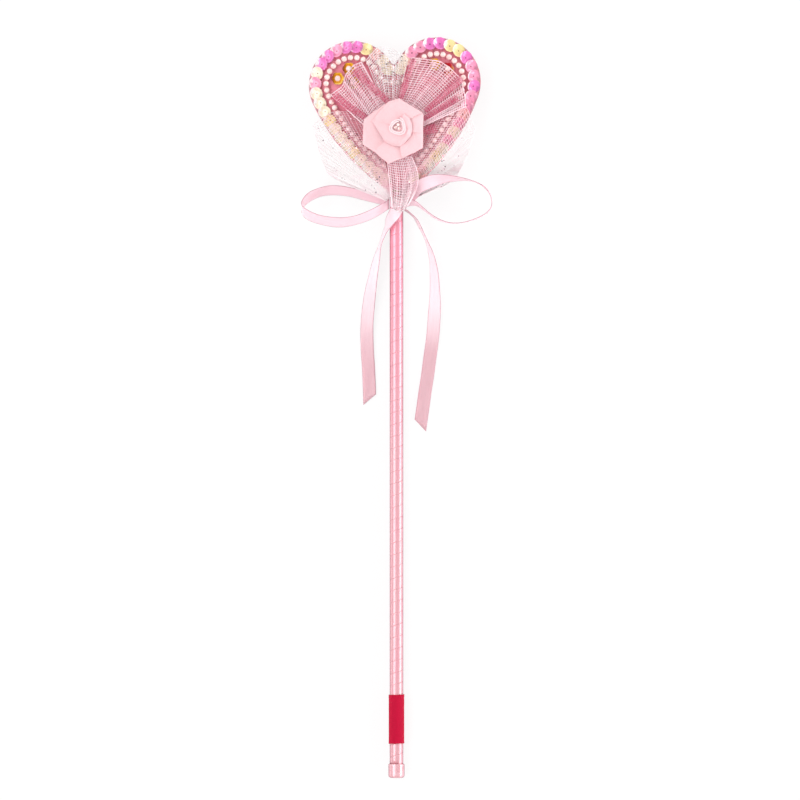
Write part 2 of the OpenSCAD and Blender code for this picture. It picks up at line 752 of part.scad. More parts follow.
tail_right_route = [
    [4.3, -48.4, 7.2, 80], [6.5, -49.7, 7, 80], [10, -53, 6.6, 80], [12.6, -57.5, 6.2, 80],
    [15, -62.4, 5.8, 80], [17.3, -68.2, 5.3, 76], [18.6, -72, 4.9, 68], [19.5, -76, 4.5, 60],
    [20.3, -82.5, 4, 52], [20.7, -89.5, 3.4, 43], [20.8, -97, 2.6, 30], [20.5, -104, 2, 20],
    [19.9, -113.7, 1.4, 10], [19.1, -121, 1, 5], [18.1, -128, 0.8, 2], [16.8, -138, 0.7, 0],
    [15.4, -147.2, 0.6, 0], [14.2, -156, 0.6, 0], [12.9, -165, 0.6, 0]
];
tail_slant = 2.8;

function unit(v) = v / norm(v);
function spot(p) = [p[0], p[1], p[2]];

// Ribbon along a route: flat is the way across it where it lies flat, and slant cuts its far end
module ribbon(route, flat, slant = 0) {
    last = len(route) - 1;
    rings = [
        for (i = [0:last])
        let (p = spot(route[i]), lean = route[i][3])
        let (way = unit(spot(route[min(i + 1, last)]) - spot(route[max(i - 1, 0)])))
        let (tilt = cos(lean) * flat + sin(lean) * [0, 0, 1])
        let (across = unit(tilt - (tilt * way) * way) * ribbon_w / 2)
        let (thick = unit(cross(across, way)) * ribbon_t / 2)
        let (cut = i == last ? slant * way : 0 * way)
        [
            p + across + thick + cut, p - across + thick - cut,
            p - across - thick - cut, p + across - thick + cut
        ]
    ];
    points = [for (r = rings) each r];
    // Both faces are split along one diagonal, so that they don't cross where the ribbon twists
    sides = [
        for (i = [0:last - 1], j = [0:3])
        let (a = 4 * i + j, b = 4 * i + (j + 1) % 4)
        each j == 2 ? [[a, b, a + 4], [b, b + 4, a + 4]] : [[a, b, b + 4], [a, b + 4, a + 4]]
    ];
    far = 4 * last;
    ends = [[0, 2, 1], [0, 3, 2], [far, far + 1, far + 2], [far, far + 2, far + 3]];
    color("#f8d3dc") polyhedron(points, concat(sides, ends));
}

module bow_loop_left() {
    ribbon(loop_left_route, [0, 1, 0]);
}

module bow_loop_right() {
    ribbon(loop_right_route, [0, 1, 0]);
}

module bow_tail_left() {
    ribbon(tail_left_route, [1, 0, 0], -tail_slant);
}

module bow_tail_right() {
    ribbon(tail_right_route, [1, 0, 0], tail_slant);
}

rod_core();
rod_wrap();
end_cap();
label_band();
heart_back_cover();
heart_board();
heart_wadding();
heart_front_cover();
edge_sequins_left();
edge_sequins_right();
pearl_row_left();
pearl_row_right();
flower_cups_gold();
flower_cups_red();
flower_pearls();
veil_left();
veil_right();
veil_cleft();
net_bow_left();
net_bow_right();
net_tail();
rose_felt();
rose_petal_left();
rose_petal_low_left();
rose_petal_low_right();
rose_petal_right();
rose_petal_top();
rose_inner_wrap();
rose_bud();
rose_beads();
bow_knot();
bow_loop_left();
bow_loop_right();
bow_tail_left();
bow_tail_right();
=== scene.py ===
"""Toy magic wand: visual pieces, finishes and stage for the CAD frame."""
import json
import math
import random

import bmesh
import bpy
import numpy as np
from mathutils import Matrix, Vector, noise
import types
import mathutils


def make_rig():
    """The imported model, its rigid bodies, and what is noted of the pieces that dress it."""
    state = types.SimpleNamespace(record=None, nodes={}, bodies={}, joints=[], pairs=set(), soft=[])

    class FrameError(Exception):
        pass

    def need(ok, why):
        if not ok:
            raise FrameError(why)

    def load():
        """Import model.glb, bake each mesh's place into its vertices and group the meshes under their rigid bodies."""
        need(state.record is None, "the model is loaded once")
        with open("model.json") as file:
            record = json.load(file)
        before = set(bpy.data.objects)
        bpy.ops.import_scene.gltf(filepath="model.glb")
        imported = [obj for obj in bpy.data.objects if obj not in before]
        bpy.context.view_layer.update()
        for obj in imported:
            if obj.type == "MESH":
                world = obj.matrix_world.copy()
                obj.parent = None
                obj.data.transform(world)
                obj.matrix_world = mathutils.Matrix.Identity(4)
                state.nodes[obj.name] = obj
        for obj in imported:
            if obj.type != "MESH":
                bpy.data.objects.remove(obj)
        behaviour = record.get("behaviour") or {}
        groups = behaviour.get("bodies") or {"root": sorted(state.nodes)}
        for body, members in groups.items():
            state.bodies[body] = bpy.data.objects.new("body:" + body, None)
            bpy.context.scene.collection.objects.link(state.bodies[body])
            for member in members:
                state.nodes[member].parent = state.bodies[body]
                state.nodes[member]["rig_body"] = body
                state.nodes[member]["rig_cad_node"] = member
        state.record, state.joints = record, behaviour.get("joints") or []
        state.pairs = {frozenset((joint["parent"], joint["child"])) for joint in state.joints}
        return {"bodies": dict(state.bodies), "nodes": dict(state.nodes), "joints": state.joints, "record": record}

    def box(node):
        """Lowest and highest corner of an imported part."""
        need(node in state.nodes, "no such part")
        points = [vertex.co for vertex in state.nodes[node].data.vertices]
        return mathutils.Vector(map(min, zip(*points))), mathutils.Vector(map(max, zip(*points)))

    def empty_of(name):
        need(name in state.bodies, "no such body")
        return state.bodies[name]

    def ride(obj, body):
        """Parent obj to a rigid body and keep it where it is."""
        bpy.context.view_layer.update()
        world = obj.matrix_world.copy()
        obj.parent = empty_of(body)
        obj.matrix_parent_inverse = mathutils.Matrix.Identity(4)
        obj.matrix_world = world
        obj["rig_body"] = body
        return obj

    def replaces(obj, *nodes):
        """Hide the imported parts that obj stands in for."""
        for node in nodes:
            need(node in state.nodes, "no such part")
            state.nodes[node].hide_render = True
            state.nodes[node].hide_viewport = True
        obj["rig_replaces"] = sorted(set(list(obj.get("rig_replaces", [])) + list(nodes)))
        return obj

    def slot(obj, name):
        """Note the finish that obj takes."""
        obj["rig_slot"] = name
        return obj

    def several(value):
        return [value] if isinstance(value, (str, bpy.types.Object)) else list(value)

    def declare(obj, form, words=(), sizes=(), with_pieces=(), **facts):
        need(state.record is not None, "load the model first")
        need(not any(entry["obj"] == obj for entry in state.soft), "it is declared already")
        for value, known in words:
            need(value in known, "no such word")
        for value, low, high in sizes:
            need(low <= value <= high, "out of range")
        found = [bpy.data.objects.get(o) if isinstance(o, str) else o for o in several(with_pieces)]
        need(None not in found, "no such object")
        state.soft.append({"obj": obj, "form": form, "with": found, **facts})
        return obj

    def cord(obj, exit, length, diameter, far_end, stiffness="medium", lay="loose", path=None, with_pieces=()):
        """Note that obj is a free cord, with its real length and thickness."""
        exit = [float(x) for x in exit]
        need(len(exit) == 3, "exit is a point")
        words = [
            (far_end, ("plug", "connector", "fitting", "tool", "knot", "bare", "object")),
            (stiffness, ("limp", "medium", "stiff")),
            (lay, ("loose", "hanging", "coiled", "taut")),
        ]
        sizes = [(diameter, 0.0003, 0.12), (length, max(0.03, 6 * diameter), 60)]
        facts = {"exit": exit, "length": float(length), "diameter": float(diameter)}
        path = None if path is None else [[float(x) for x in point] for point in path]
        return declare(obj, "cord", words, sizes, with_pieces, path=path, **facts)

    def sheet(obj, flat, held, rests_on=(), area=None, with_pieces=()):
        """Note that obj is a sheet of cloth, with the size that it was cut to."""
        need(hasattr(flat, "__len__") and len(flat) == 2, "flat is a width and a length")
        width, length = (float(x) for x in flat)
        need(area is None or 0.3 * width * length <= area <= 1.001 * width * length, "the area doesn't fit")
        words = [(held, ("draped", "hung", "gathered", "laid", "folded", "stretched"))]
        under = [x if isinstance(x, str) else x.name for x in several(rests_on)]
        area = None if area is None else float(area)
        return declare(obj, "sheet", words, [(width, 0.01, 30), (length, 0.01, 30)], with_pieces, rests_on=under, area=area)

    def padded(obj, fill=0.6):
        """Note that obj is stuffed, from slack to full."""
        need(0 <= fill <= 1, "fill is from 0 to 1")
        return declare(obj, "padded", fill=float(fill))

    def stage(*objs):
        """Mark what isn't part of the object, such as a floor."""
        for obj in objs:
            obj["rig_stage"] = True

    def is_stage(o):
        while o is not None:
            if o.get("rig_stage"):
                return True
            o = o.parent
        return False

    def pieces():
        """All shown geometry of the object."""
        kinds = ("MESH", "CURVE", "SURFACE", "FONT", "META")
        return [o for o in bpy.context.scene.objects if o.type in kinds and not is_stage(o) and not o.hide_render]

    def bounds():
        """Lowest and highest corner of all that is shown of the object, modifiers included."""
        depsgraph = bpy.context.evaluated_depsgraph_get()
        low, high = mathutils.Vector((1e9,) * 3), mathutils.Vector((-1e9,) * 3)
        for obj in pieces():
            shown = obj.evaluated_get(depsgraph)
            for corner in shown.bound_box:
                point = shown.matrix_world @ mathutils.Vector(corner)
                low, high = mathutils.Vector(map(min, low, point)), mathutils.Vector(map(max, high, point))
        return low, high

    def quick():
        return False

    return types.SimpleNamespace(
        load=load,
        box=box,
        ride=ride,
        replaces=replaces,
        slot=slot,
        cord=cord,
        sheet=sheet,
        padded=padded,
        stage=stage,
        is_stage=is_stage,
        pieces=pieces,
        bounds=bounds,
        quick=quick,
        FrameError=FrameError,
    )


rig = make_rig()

bl_info = {
    "name": "Toy magic wand",
    "version": (1, 0, 0),
    "blender": (4, 5, 0),
    "location": "View3D > Sidebar > Wand",
    "description": "Builds the visual pieces of a toy magic wand on its CAD frame",
    "category": "Add Mesh",
}

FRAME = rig.load()
CAD_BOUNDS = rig.bounds()
MM = 0.001


# Colours are written as sRGB bytes and handed to the shaders as linear values
def linear(red, green, blue):
    def channel(byte):
        part = byte / 255
        if part <= 0.04045:
            return part / 12.92
        return ((part + 0.055) / 1.055) ** 2.4
    return (channel(red), channel(green), channel(blue))


def rgba(colour):
    return (colour[0], colour[1], colour[2], 1.0)


# Routes of the ribbon in mm: x, y, z and the lean of its width, 0 flat and 90 on edge
LOOP_LEFT = [
    (-3.9, -44.1, 10.9, 45), (-10, -42.6, 9.4, 45), (-17.5, -40.6, 7.4, 45), (-24, -39, 5.8, 45),
    (-30, -38, 4.8, 45), (-36, -37.8, 4.6, 45), (-40.5, -38.6, 5.4, 45), (-45, -40.4, 7.2, 45),
    (-48.4, -42.6, 9.4, 45), (-50.6, -45.2, 12, 45), (-51.2, -47.2, 14, 45), (-50.6, -49.2, 16, 45),
    (-48.6, -51, 17.8, 45), (-45, -52.8, 19.6, 45), (-40, -54.4, 21.2, 45), (-34, -55.4, 22.2, 45),
    (-28, -55.4, 22.2, 45), (-21.5, -54.2, 21, 45), (-14.5, -51.6, 18, 45), (-8.5, -48.3, 14, 45),
    (-3.9, -45.4, 11.2, 45),
]
LOOP_RIGHT = [
    (4, -44.1, 10.9, 45), (5.4, -43.9, 11, 45), (7.2, -42.2, 11.6, 34), (8.8, -39.6, 12.6, 18),
    (10.8, -37, 13.5, 8), (13.8, -35.1, 13.9, 3), (17.5, -33.7, 13.7, 4), (21, -32.7, 13, 22),
    (24.5, -32.2, 12.2, 45), (29, -31.8, 11.5, 62), (33.5, -31.8, 11, 74), (38, -32.3, 10.4, 82),
    (42.5, -33.5, 9.8, 88), (46, -35.2, 9.3, 90), (48.6, -37.4, 8.9, 90), (50.6, -40.4, 8.5, 90),
    (51.4, -43.6, 8.2, 90), (51.2, -46.5, 8, 90), (49.4, -49.3, 7.9, 90), (46.3, -51.6, 7.9, 90),
    (42, -53.6, 8, 90), (37, -55, 8.2, 90), (31.8, -55.5, 8.5, 90), (26.4, -55, 8.9, 88),
    (21, -52.8, 9.4, 86), (17, -50, 10, 84), (13, -46.8, 10.6, 78), (9.8, -45.1, 11.1, 68),
    (6.8, -44.6, 11.5, 56), (3.9, -44.9, 11.7, 45),
]
TAIL_LEFT = [
    (-0.1, -48.2, 10.2, 6), (-0.4, -49.4, 10.1, 12), (-1.6, -51.4, 9.8, 24), (-3.6, -54.4, 9, 45),
    (-5.2, -57.8, 7.6, 65), (-6.6, -61, 6.6, 76), (-8, -65, 5.9, 78), (-9.6, -70, 5.3, 72),
    (-11.2, -77, 4.5, 58), (-12.7, -84.5, 3.6, 45), (-14.2, -93, 2.8, 32), (-15.4, -103, 1.8, 18),
    (-16, -111, 1.3, 10), (-16, -118, 1, 5), (-15.7, -126, 0.8, 2), (-15.2, -133, 0.7, 0),
    (-14.8, -142, 0.6, 0), (-14.5, -151, 0.6, 0),
]
TAIL_RIGHT = [
    (4.3, -48.4, 7.2, 80), (6.5, -49.7, 7, 80), (10, -53, 6.6, 80), (12.6, -57.5, 6.2, 80),
    (15, -62.4, 5.8, 80), (17.3, -68.2, 5.3, 76), (18.6, -72, 4.9, 68), (19.5, -76, 4.5, 60),
    (20.3, -82.5, 4, 52), (20.7, -89.5, 3.4, 43), (20.8, -97, 2.6, 30), (20.5, -104, 2, 20),
    (19.9, -113.7, 1.4, 10), (19.1, -121, 1, 5), (18.1, -128, 0.8, 2), (16.8, -138, 0.7, 0),
    (15.4, -147.2, 0.6, 0), (14.2, -156, 0.6, 0), (12.9, -165, 0.6, 0),
]
ROUTES = {
    "bow_loop_left": (LOOP_LEFT, (0, 1, 0), "object", 0),
    "bow_loop_right": (LOOP_RIGHT, (0, 1, 0), "object", 0),
    "bow_tail_left": (TAIL_LEFT, (1, 0, 0), "bare", -2.8),
    "bow_tail_right": (TAIL_RIGHT, (1, 0, 0), "bare", 2.8),
}

# Painted light on the tails: they pass from a painted highlight near the knot into painted shade toward the ends, over
# these shares of their length, and this is how dark they end; the right tail ends darker as painted shade
TAIL_FADES = {"bow_tail_left": ((0.48, 0.88), 1.0), "bow_tail_right": ((0.55, 0.78), 0.85)}

# Tulle in mm: the gathered line and the free edge, point for point, then folds and height
TULLE = {
    "veil_left": {
        "root": [
            (-1.9, -40.7), (-2.6, -41), (-3.3, -41.4), (-4.1, -42.1),
            (-4.8, -43), (-5.2, -43.7), (-5.3, -43.9)],
        "edge": [
            (-13, 1), (-24, 4.4), (-35, 4), (-45, -2.7), (-40.9, -19.5), (-37.4, -28.7), (-29, -34.4)],
        "folds": 7, "rise": 15.1, "top": 17.6, "droop": 3.4, "slot": "veil_tulle",
    },
    "veil_right": {
        "root": [
            (5.3, -43.9), (5.2, -43.7), (4.8, -42.9), (4.1, -42.1), (3.3, -41.4), (2.5, -40.9), (1.7, -40.6)],
        "edge": [
            (26.7, -35.3), (31.7, -31.3), (37.8, -20.6), (42.3, -5.3), (38, 6.5), (26, 5.6), (14, 1.8)],
        "folds": 7, "rise": 15.1, "top": 17.6, "droop": 3.4, "slot": "veil_tulle", "under": LOOP_RIGHT,
    },
    "veil_cleft": {
        "root": [(-0.5, 1.1), (-1.9, 1.3), (-3.1, 1.2), (-4.5, 0.8)],
        "edge": [(5.7, 32.9), (-1.9, 38.2), (-9.9, 39.4), (-16.4, 31.9)],
        "folds": 5, "rise": 17.4, "top": 17.4, "droop": 0.6, "slot": "veil_tulle",
    },
    "net_bow_left": {
        "root": [(-3, 2), (-5.6, 0.6), (-8.4, -1.6), (-10.6, -4.6), (-12, -8)],
        "edge": [(-18.4, 31), (-23, 29.2), (-27.4, 24), (-28.8, 18), (-35, 13.6)],
        "folds": 5, "rise": 18.3, "top": 18.3, "droop": 0.8, "slot": "net_tulle",
    },
    "net_bow_right": {
        "root": [(8.6, -6), (8.2, -4), (6.8, -1.6), (4.6, 0.4), (1.6, 2), (-0.6, 2.6)],
        "edge": [(37.3, 7.5), (36.7, 13.2), (34.8, 21.7), (28.6, 27.9), (23.3, 31.4), (7.9, 33.3)],
        "folds": 7, "rise": 18.3, "top": 18.3, "droop": 0.8, "slot": "net_tulle",
    },
    "net_tail": {
        "root": [(-5, -20), (-1.5, -20.4), (2, -20.6), (5, -20.4), (8, -20)],
        "edge": [(-2.4, -46.6), (-0.4, -48.8), (1.8, -49.6), (4, -48.8), (6, -46.4)],
        "folds": 4, "rise": 18.9, "top": 16.4, "droop": 0, "belly": 4.6, "slot": "net_tulle",
    },
}

# Doubled folds of the pink net in mm: start, end, width and height
FOLDS = {
    "net_bow_left": [
        ((-4.5, 9.5), (-22.5, 26.5), 3.4, 18.9), ((-16, 0.6), (-34, 12.4), 3.6, 18.9),
    ],
    "net_bow_right": [
        ((15.8, 4.6), (35, 22), 3.2, 18.9), ((15, 0.5), (32.5, 11.5), 3, 18.9),
        ((2.4, 11.6), (8.6, 32), 3, 18.9), ((14.6, -6.5), (21, -4.6), 4, 18.9),
    ],
}

# Folds of the rose as shares of its radius and height: inner line, then outer line
PETALS = {
    "rose_petal_left": (
        [(-0.02, 0.4, 0.08), (-0.24, 0.3, 0.08), (-0.34, 0.1, 0.08),
         (-0.3, -0.12, 0.08), (-0.16, -0.26, 0.08)],
        [(-0.16, 0.83, 0), (-0.55, 0.57, 0), (-0.87, 0.33, 0), (-0.91, -0.41, 0), (-0.47, -0.7, 0)],
    ),
    "rose_petal_low_left": (
        [(-0.2, -0.27, 0.26), (-0.1, -0.31, 0.26), (0.05, -0.32, 0.26), (0.22, -0.34, 0.26)],
        [(-0.56, -0.62, 0.18), (-0.36, -0.82, 0.18), (-0.13, -0.99, 0.18), (0.33, -0.81, 0.18)],
    ),
    "rose_petal_low_right": (
        [(0.18, -0.36, 0.44), (0.32, -0.29, 0.44), (0.42, -0.18, 0.44), (0.48, 0.02, 0.44)],
        [(0.27, -0.84, 0.36), (0.58, -0.69, 0.36), (0.89, -0.53, 0.36), (0.9, -0.02, 0.36)],
    ),
    "rose_petal_right": (
        [(0.46, -0.06, 0.62), (0.46, 0.12, 0.62), (0.43, 0.24, 0.62), (0.36, 0.4, 0.62)],
        [(0.89, -0.09, 0.54), (0.9, 0.2, 0.54), (0.91, 0.49, 0.54), (0.6, 0.67, 0.54)],
    ),
    "rose_petal_top": (
        [(38, 0.82), (62, 0.86), (86, 0.9), (112, 0.9), (142, 0.86), (171, 0.8)],
        [(0.87, 0.52, 0.72), (0.55, 0.72, 0.7), (0.17, 0.95, 0.62),
         (-0.14, 0.85, 0.54), (-0.4, 0.55, 0.47), (-0.63, 0.28, 0.42)],
    ),
    "rose_inner_wrap": (
        [(164, 0.86), (212, 0.92), (240, 0.96), (268, 1), (296, 1.04),
         (322, 1.08), (350, 1.12), (376, 1.15), (402, 1.18), (430, 1.2)],
        [(-0.64, 0.31, 0.5), (-0.23, -0.34, 0.55), (-0.03, -0.45, 0.58), (0.2, -0.48, 0.68),
         (0.36, -0.35, 0.74), (0.52, -0.17, 0.86), (0.57, 0.01, 0.92), (0.55, 0.2, 0.96),
         (0.47, 0.38, 1.08), (0.33, 0.47, 1.12)],
    ),
}
BUD_CENTRE = (0.135, 0.09)

# Sequin colours in order from the cleft round each lobe to the tip
SEQUIN_COLOURS = {
    "c": linear(254, 236, 210), "s": linear(250, 184, 182), "y": linear(254, 230, 166),
    "m": linear(242, 122, 198), "p": linear(250, 158, 192),
}
SEQUIN_ROWS = {
    "edge_sequins_left": "ccsymmpmmcpcccycccycccc",
    "edge_sequins_right": "ccppmmyymppmppspcpcycsc",
}

# Cup sequins in mm: hole, then radius and height of each ring, the shift inward and the film
SEQUIN_HOLE = 0.3
SEQUIN_RINGS = ((0.55, 0.0), (1.5, 0.0), (2.6, 0.34), (3.7, 0.95))
SEQUIN_INWARD = 0.3
SEQUIN_SINK = 0.35
SEQUIN_FILM = 0.12

# Sequins count from the cleft round the middle of a lobe; each cup has a painted highlight on the side toward
# SEQUIN_LIGHT and painted shade on the far side
LOBE_MIDDLE = (20, 8)
CLEFT_TURN = 140
SEQUIN_LIGHT = (-0.9, 0.3)
SEQUIN_LIT = 0.62
SEQUIN_SHADED = -0.6

# Flower cups in mm: floor, then radius and height of each ring, the rim's height and the film
FLOWER_FLOOR = 0.9
FLOWER_RINGS = ((1.8, 0.05), (2.6, 0.5), (3.25, 1.35))
FLOWER_HEIGHT = 1.5
FLOWER_FILM = 0.2
FLOWER_SCALLOP = 0.13

# Pearls: how far the ends of the hole sink in, and how far a pearl leans on its string, in degrees
PEARL_DIMPLE = 0.82
PEARL_LEAN = 14

# Heart in mm: voxels of the satin, its start under size, its most swell and its draw at a stitch
HEART_VOXEL = 1.0
HEART_UNDER = 0.25
HEART_SWELL = 0.7
STITCH_DRAW = 0.35
STITCH_PUCKER = 1.6
UNEVEN = 0.22

# Where the swelling satin is held in mm: up from the back, and round the stitches of the front
HELD_EDGE = 1.2
HELD_STITCH = 0.9
FRONT_LEVEL = 8
CLOTH_FRAMES = 16
CLOTH = {
    "quality": 5, "mass": 0.1, "tension_stiffness": 10, "compression_stiffness": 10,
    "shear_stiffness": 5, "bending_stiffness": 0.2, "use_pressure": True,
    "uniform_pressure_force": 22, "vertex_group_mass": "sewn",
}

# Tulle: gathers across and along, its wave, and slack over a pearl and under a ribbon, in mm
GATHERS = (1.8, 1.1)
TULLE_WAVE = 0.7
TULLE_SLIP = 0.5
PEARL_SLACK = 0.35
PEARL_SLOPE = 0.35
RIBBON_SLACK = 2.6
RIBBON_REACH = 5

# Doubled folds and glitter of the tulle: mesh and thread, then flakes to a veil and their radii, in mm
FOLD_CELL = 1.6
FOLD_THREAD = 0.36
FLAKES = 46
FLAKE_RADII = (0.22, 0.42)
FLAKE_LIFT = 0.16
FLAKE_FILM = 0.05

# Sheets: the least side in mm and the least share of its flat size that its declared area takes
LEAST_SIDE = 10.1
LEAST_COVER = 0.31

# Width of the camera's sensor in mm
SENSOR = 36

# Bud of the rose: radius in mm and the way that its roll starts, in degrees
BUD_RADIUS = 5
BUD_START = 75


def length_prop(label, text, millimetres):
    return bpy.props.FloatProperty(
        name=label, description=text, default=millimetres * MM, unit="LENGTH")


def colour_prop(label, text, red, green, blue):
    return bpy.props.FloatVectorProperty(
        name=label, description=text, default=linear(red, green, blue), subtype="COLOR")


def factor_prop(label, text, factor):
    return bpy.props.FloatProperty(name=label, description=text, default=factor, subtype="FACTOR")


class WandSizes(bpy.types.PropertyGroup):
    """Sizes of the visual pieces"""
    ribbon_width: length_prop("Ribbon width", "Width of the bow's ribbon", 7)
    ribbon_thickness: length_prop("Ribbon thickness", "Thickness of the satin ribbon", 0.3)
    wrap_pitch: length_prop("Wrap pitch", "Advance of one turn on the dowel", 6.4)
    net_cell: length_prop("Net cell", "Width of a mesh of the tulle", 1.4)
    net_thread: length_prop("Net thread", "Thread of the pink net", 0.74)
    veil_thread: length_prop("Veil thread", "Thread of the white tulle", 0.44)
    petal_thickness: length_prop("Petal thickness", "Thickness of a folded petal", 0.7)
    rose_radius: length_prop("Rose radius", "Radius of the rose", 18)
    rose_height: length_prop("Rose height", "Height of the rose's folds", 5.4)


class WandColours(bpy.types.PropertyGroup):
    """Colours of the wand"""
    heart: colour_prop("Heart", "Satin of the heart", 242, 146, 166)
    rod: colour_prop("Rod", "Ribbon on the dowel", 250, 160, 180)
    rod_low: colour_prop("Rod low", "Ribbon near the butt", 235, 174, 182)
    bow: colour_prop("Bow", "Ribbon of the bow", 253, 215, 225)
    # The tails' upper colour is a painted highlight and their end colour is painted shade
    tail: colour_prop("Bow tails", "Upper part of the tails", 255, 231, 238)
    bow_end: colour_prop("Bow ends", "Free ends of the bow", 232, 185, 194)
    rose: colour_prop("Rose", "Satin of the rose", 247, 202, 207)
    net: colour_prop("Net", "Pink net", 255, 222, 230)
    # The folds are doubled net, and their dark thread colour is painted shade in the folds
    fold: colour_prop("Net folds", "Doubled folds of the net", 222, 92, 130)
    veil: colour_prop("Veil", "White tulle", 255, 247, 248)
    label: colour_prop("Label", "Woven label", 206, 6, 58)
    gold: colour_prop("Gold", "Gold cups", 255, 192, 40)
    red: colour_prop("Red", "Red cup", 216, 44, 60)
    pearl: colour_prop("Pearl", "Pearls and beads", 250, 228, 224)


class WandStage(bpy.types.PropertyGroup):
    """Camera and light of the photograph"""
    lens: bpy.props.FloatProperty(
        name="Lens", description="Focal length in mm", default=360, unit="CAMERA")
    frame_width: length_prop("Frame width", "Width that the picture spans", 433.04)
    aim: bpy.props.FloatVectorProperty(
        name="Aim", description="Point under the camera", size=2,
        default=(1.9 * MM, -151.2 * MM), unit="LENGTH")
    world: factor_prop("World", "Strength of the light all round", 0.56)
    key: factor_prop("Panel", "Radiance of the overhead panel", 0.8)
    strip: factor_prop("Strips", "Radiance of the two side strips", 3.6)


class Tone:
    """A socket of a finish that takes part in ordinary sums."""

    def __init__(self, finish, socket):
        self.finish = finish
        self.socket = socket

    def sum(self, operation, first, second=0.0):
        return self.finish.node("ShaderNodeMath", {"operation": operation}, {0: first, 1: second})

    def __add__(self, other):
        return self.sum("ADD", self, other)

    def __radd__(self, other):
        return self.sum("ADD", other, self)

    def __sub__(self, other):
        return self.sum("SUBTRACT", self, other)

    def __rsub__(self, other):
        return self.sum("SUBTRACT", other, self)

    def __mul__(self, other):
        return self.sum("MULTIPLY", self, other)

    def wave(self):
        return self.sum("SINE", self)

    def span(self, low, high):
        return self.finish.node(
            "ShaderNodeMapRange", {"interpolation_type": "SMOOTHSTEP"},
            {"Value": self, "From Min": low, "From Max": high})


class Finish:
    """Node graph of one material."""

    def __init__(self, name):
        self.material = bpy.data.materials.new(name)
        self.material.use_nodes = True
        self.tree = self.material.node_tree
        self.tree.nodes.clear()
        self.end = self.tree.nodes.new("ShaderNodeOutputMaterial")

    def feed(self, socket, value):
        if isinstance(value, Tone):
            self.tree.links.new(value.socket, socket)
        else:
            socket.default_value = value

    def node(self, kind, settings=None, inputs=None, output=0):
        made = self.tree.nodes.new(kind)
        for key, value in (settings or {}).items():
            setattr(made, key, value)
        for key, value in (inputs or {}).items():
            self.feed(made.inputs[key], value)
        return Tone(self, made.outputs[output])

    def at(self, output="Object"):
        return self.node("ShaderNodeTexCoord", output=output)

    def parts(self, vector):
        split = self.node("ShaderNodeSeparateXYZ", inputs={0: vector})
        outputs = split.socket.node.outputs
        return [Tone(self, outputs[axis]) for axis in range(3)]

    def stretched(self, vector, scale):
        return self.node("ShaderNodeVectorMath", {"operation": "MULTIPLY"}, {0: vector, 1: scale})

    def grain(self, vector, scale, detail=2.0):
        return self.node("ShaderNodeTexNoise", inputs={"Vector": vector, "Scale": scale, "Detail": detail})

    def mix(self, factor, first, second):
        first, second = (end if isinstance(end, Tone) else rgba(end) for end in (first, second))
        return self.node(
            "ShaderNodeMix", {"data_type": "RGBA"}, {0: factor, 6: first, 7: second}, output=2)

    def bump(self, height, depth, strength=1.0):
        return self.node("ShaderNodeBump", inputs={"Strength": strength, "Distance": depth, "Height": height})

    def surface(self, **sockets):
        shader = self.node("ShaderNodeBsdfPrincipled", inputs={
            key.replace("_", " "): value for key, value in sockets.items()})
        self.tree.links.new(shader.socket, self.end.inputs["Surface"])
        return self.material


def shade(colour, share):
    return [min(1.0, channel * share) for channel in colour]


def edge_on(finish, low, high):
    """How far the surface turns away from the eye, from none at low to all at high."""
    return finish.node("ShaderNodeLayerWeight", inputs={"Blend": 0.5}, output=1).span(low, high)


def glossy_surface(finish, tone, turned, metal, coat, coat_rough, rough, normal):
    """Coated surface that loses its gloss and takes painted shade, a darker colour standing for dark reflections,
    where it turns away.
    """
    edge = edge_on(finish, 0.35, 0.8)
    return finish.surface(
        Base_Color=finish.mix(edge, tone, turned),
        Metallic=metal - edge * metal,
        Roughness=rough,
        Normal=normal,
        Coat_Weight=coat - edge * coat,
        Coat_Roughness=coat_rough,
        Coat_IOR=1.9,
    )


# Satin has a fine weave across the ribbon, drawn-out streaks along it and a soft sheen
def satin_finish(name, colour, along="Object", weave=(900, 4200, 900), fade=None, fade_span=(0.0, 1.0),
                 rough=0.42, edge_band=None, rim=None):
    finish = Finish(name)
    place = finish.at(along)
    across = finish.parts(place)
    streak = finish.grain(finish.stretched(place, (weave[0], weave[1] * 0.05, weave[2])), 1.0)
    cloud = finish.grain(place, 60.0 if along == "Object" else 6.0)
    thread = (across[0] * weave[0] * 2.2).wave() * (across[1] * weave[1]).wave()

    # With a fade, the colour goes along the ribbon from the pale start, a painted highlight, to the darker end,
    # painted shade
    def graded(depth):
        if fade:
            return finish.mix(across[1].span(*fade_span), shade(colour, depth), shade(fade, depth))
        return shade(colour, depth)

    tone = finish.mix(streak.span(0.35, 0.7), graded(1.0), graded(0.95))
    tone = finish.mix(cloud.span(0.45, 0.75) * 0.35, tone, graded(1.1))
    # Painted shade: the two sides of a ribbon and its thin cut edges take a darker colour
    if edge_band:
        side = across[0] - 0.5
        tone = finish.mix((side * side).span(0.2, 0.25), tone, edge_band)
    # Painted shade: above the lower flanks the satin takes the dark rim colour where it turns away from the eye
    if rim:
        turned = edge_on(finish, 0.2, 0.8) * across[1].span(-0.02, 0.0)
        tone = finish.mix(turned, tone, rim)
    return finish.surface(
        Base_Color=tone,
        Roughness=rough + streak * 0.12,
        Normal=finish.bump(thread * 0.4 + streak, 0.00005, 0.5),
        Sheen_Weight=0.35,
        Sheen_Roughness=0.4,
        Specular_IOR_Level=0.5,
        Subsurface_Weight=0.12,
        Subsurface_Radius=(0.002, 0.0012, 0.0012),
        Subsurface_Scale=1.0,
    )


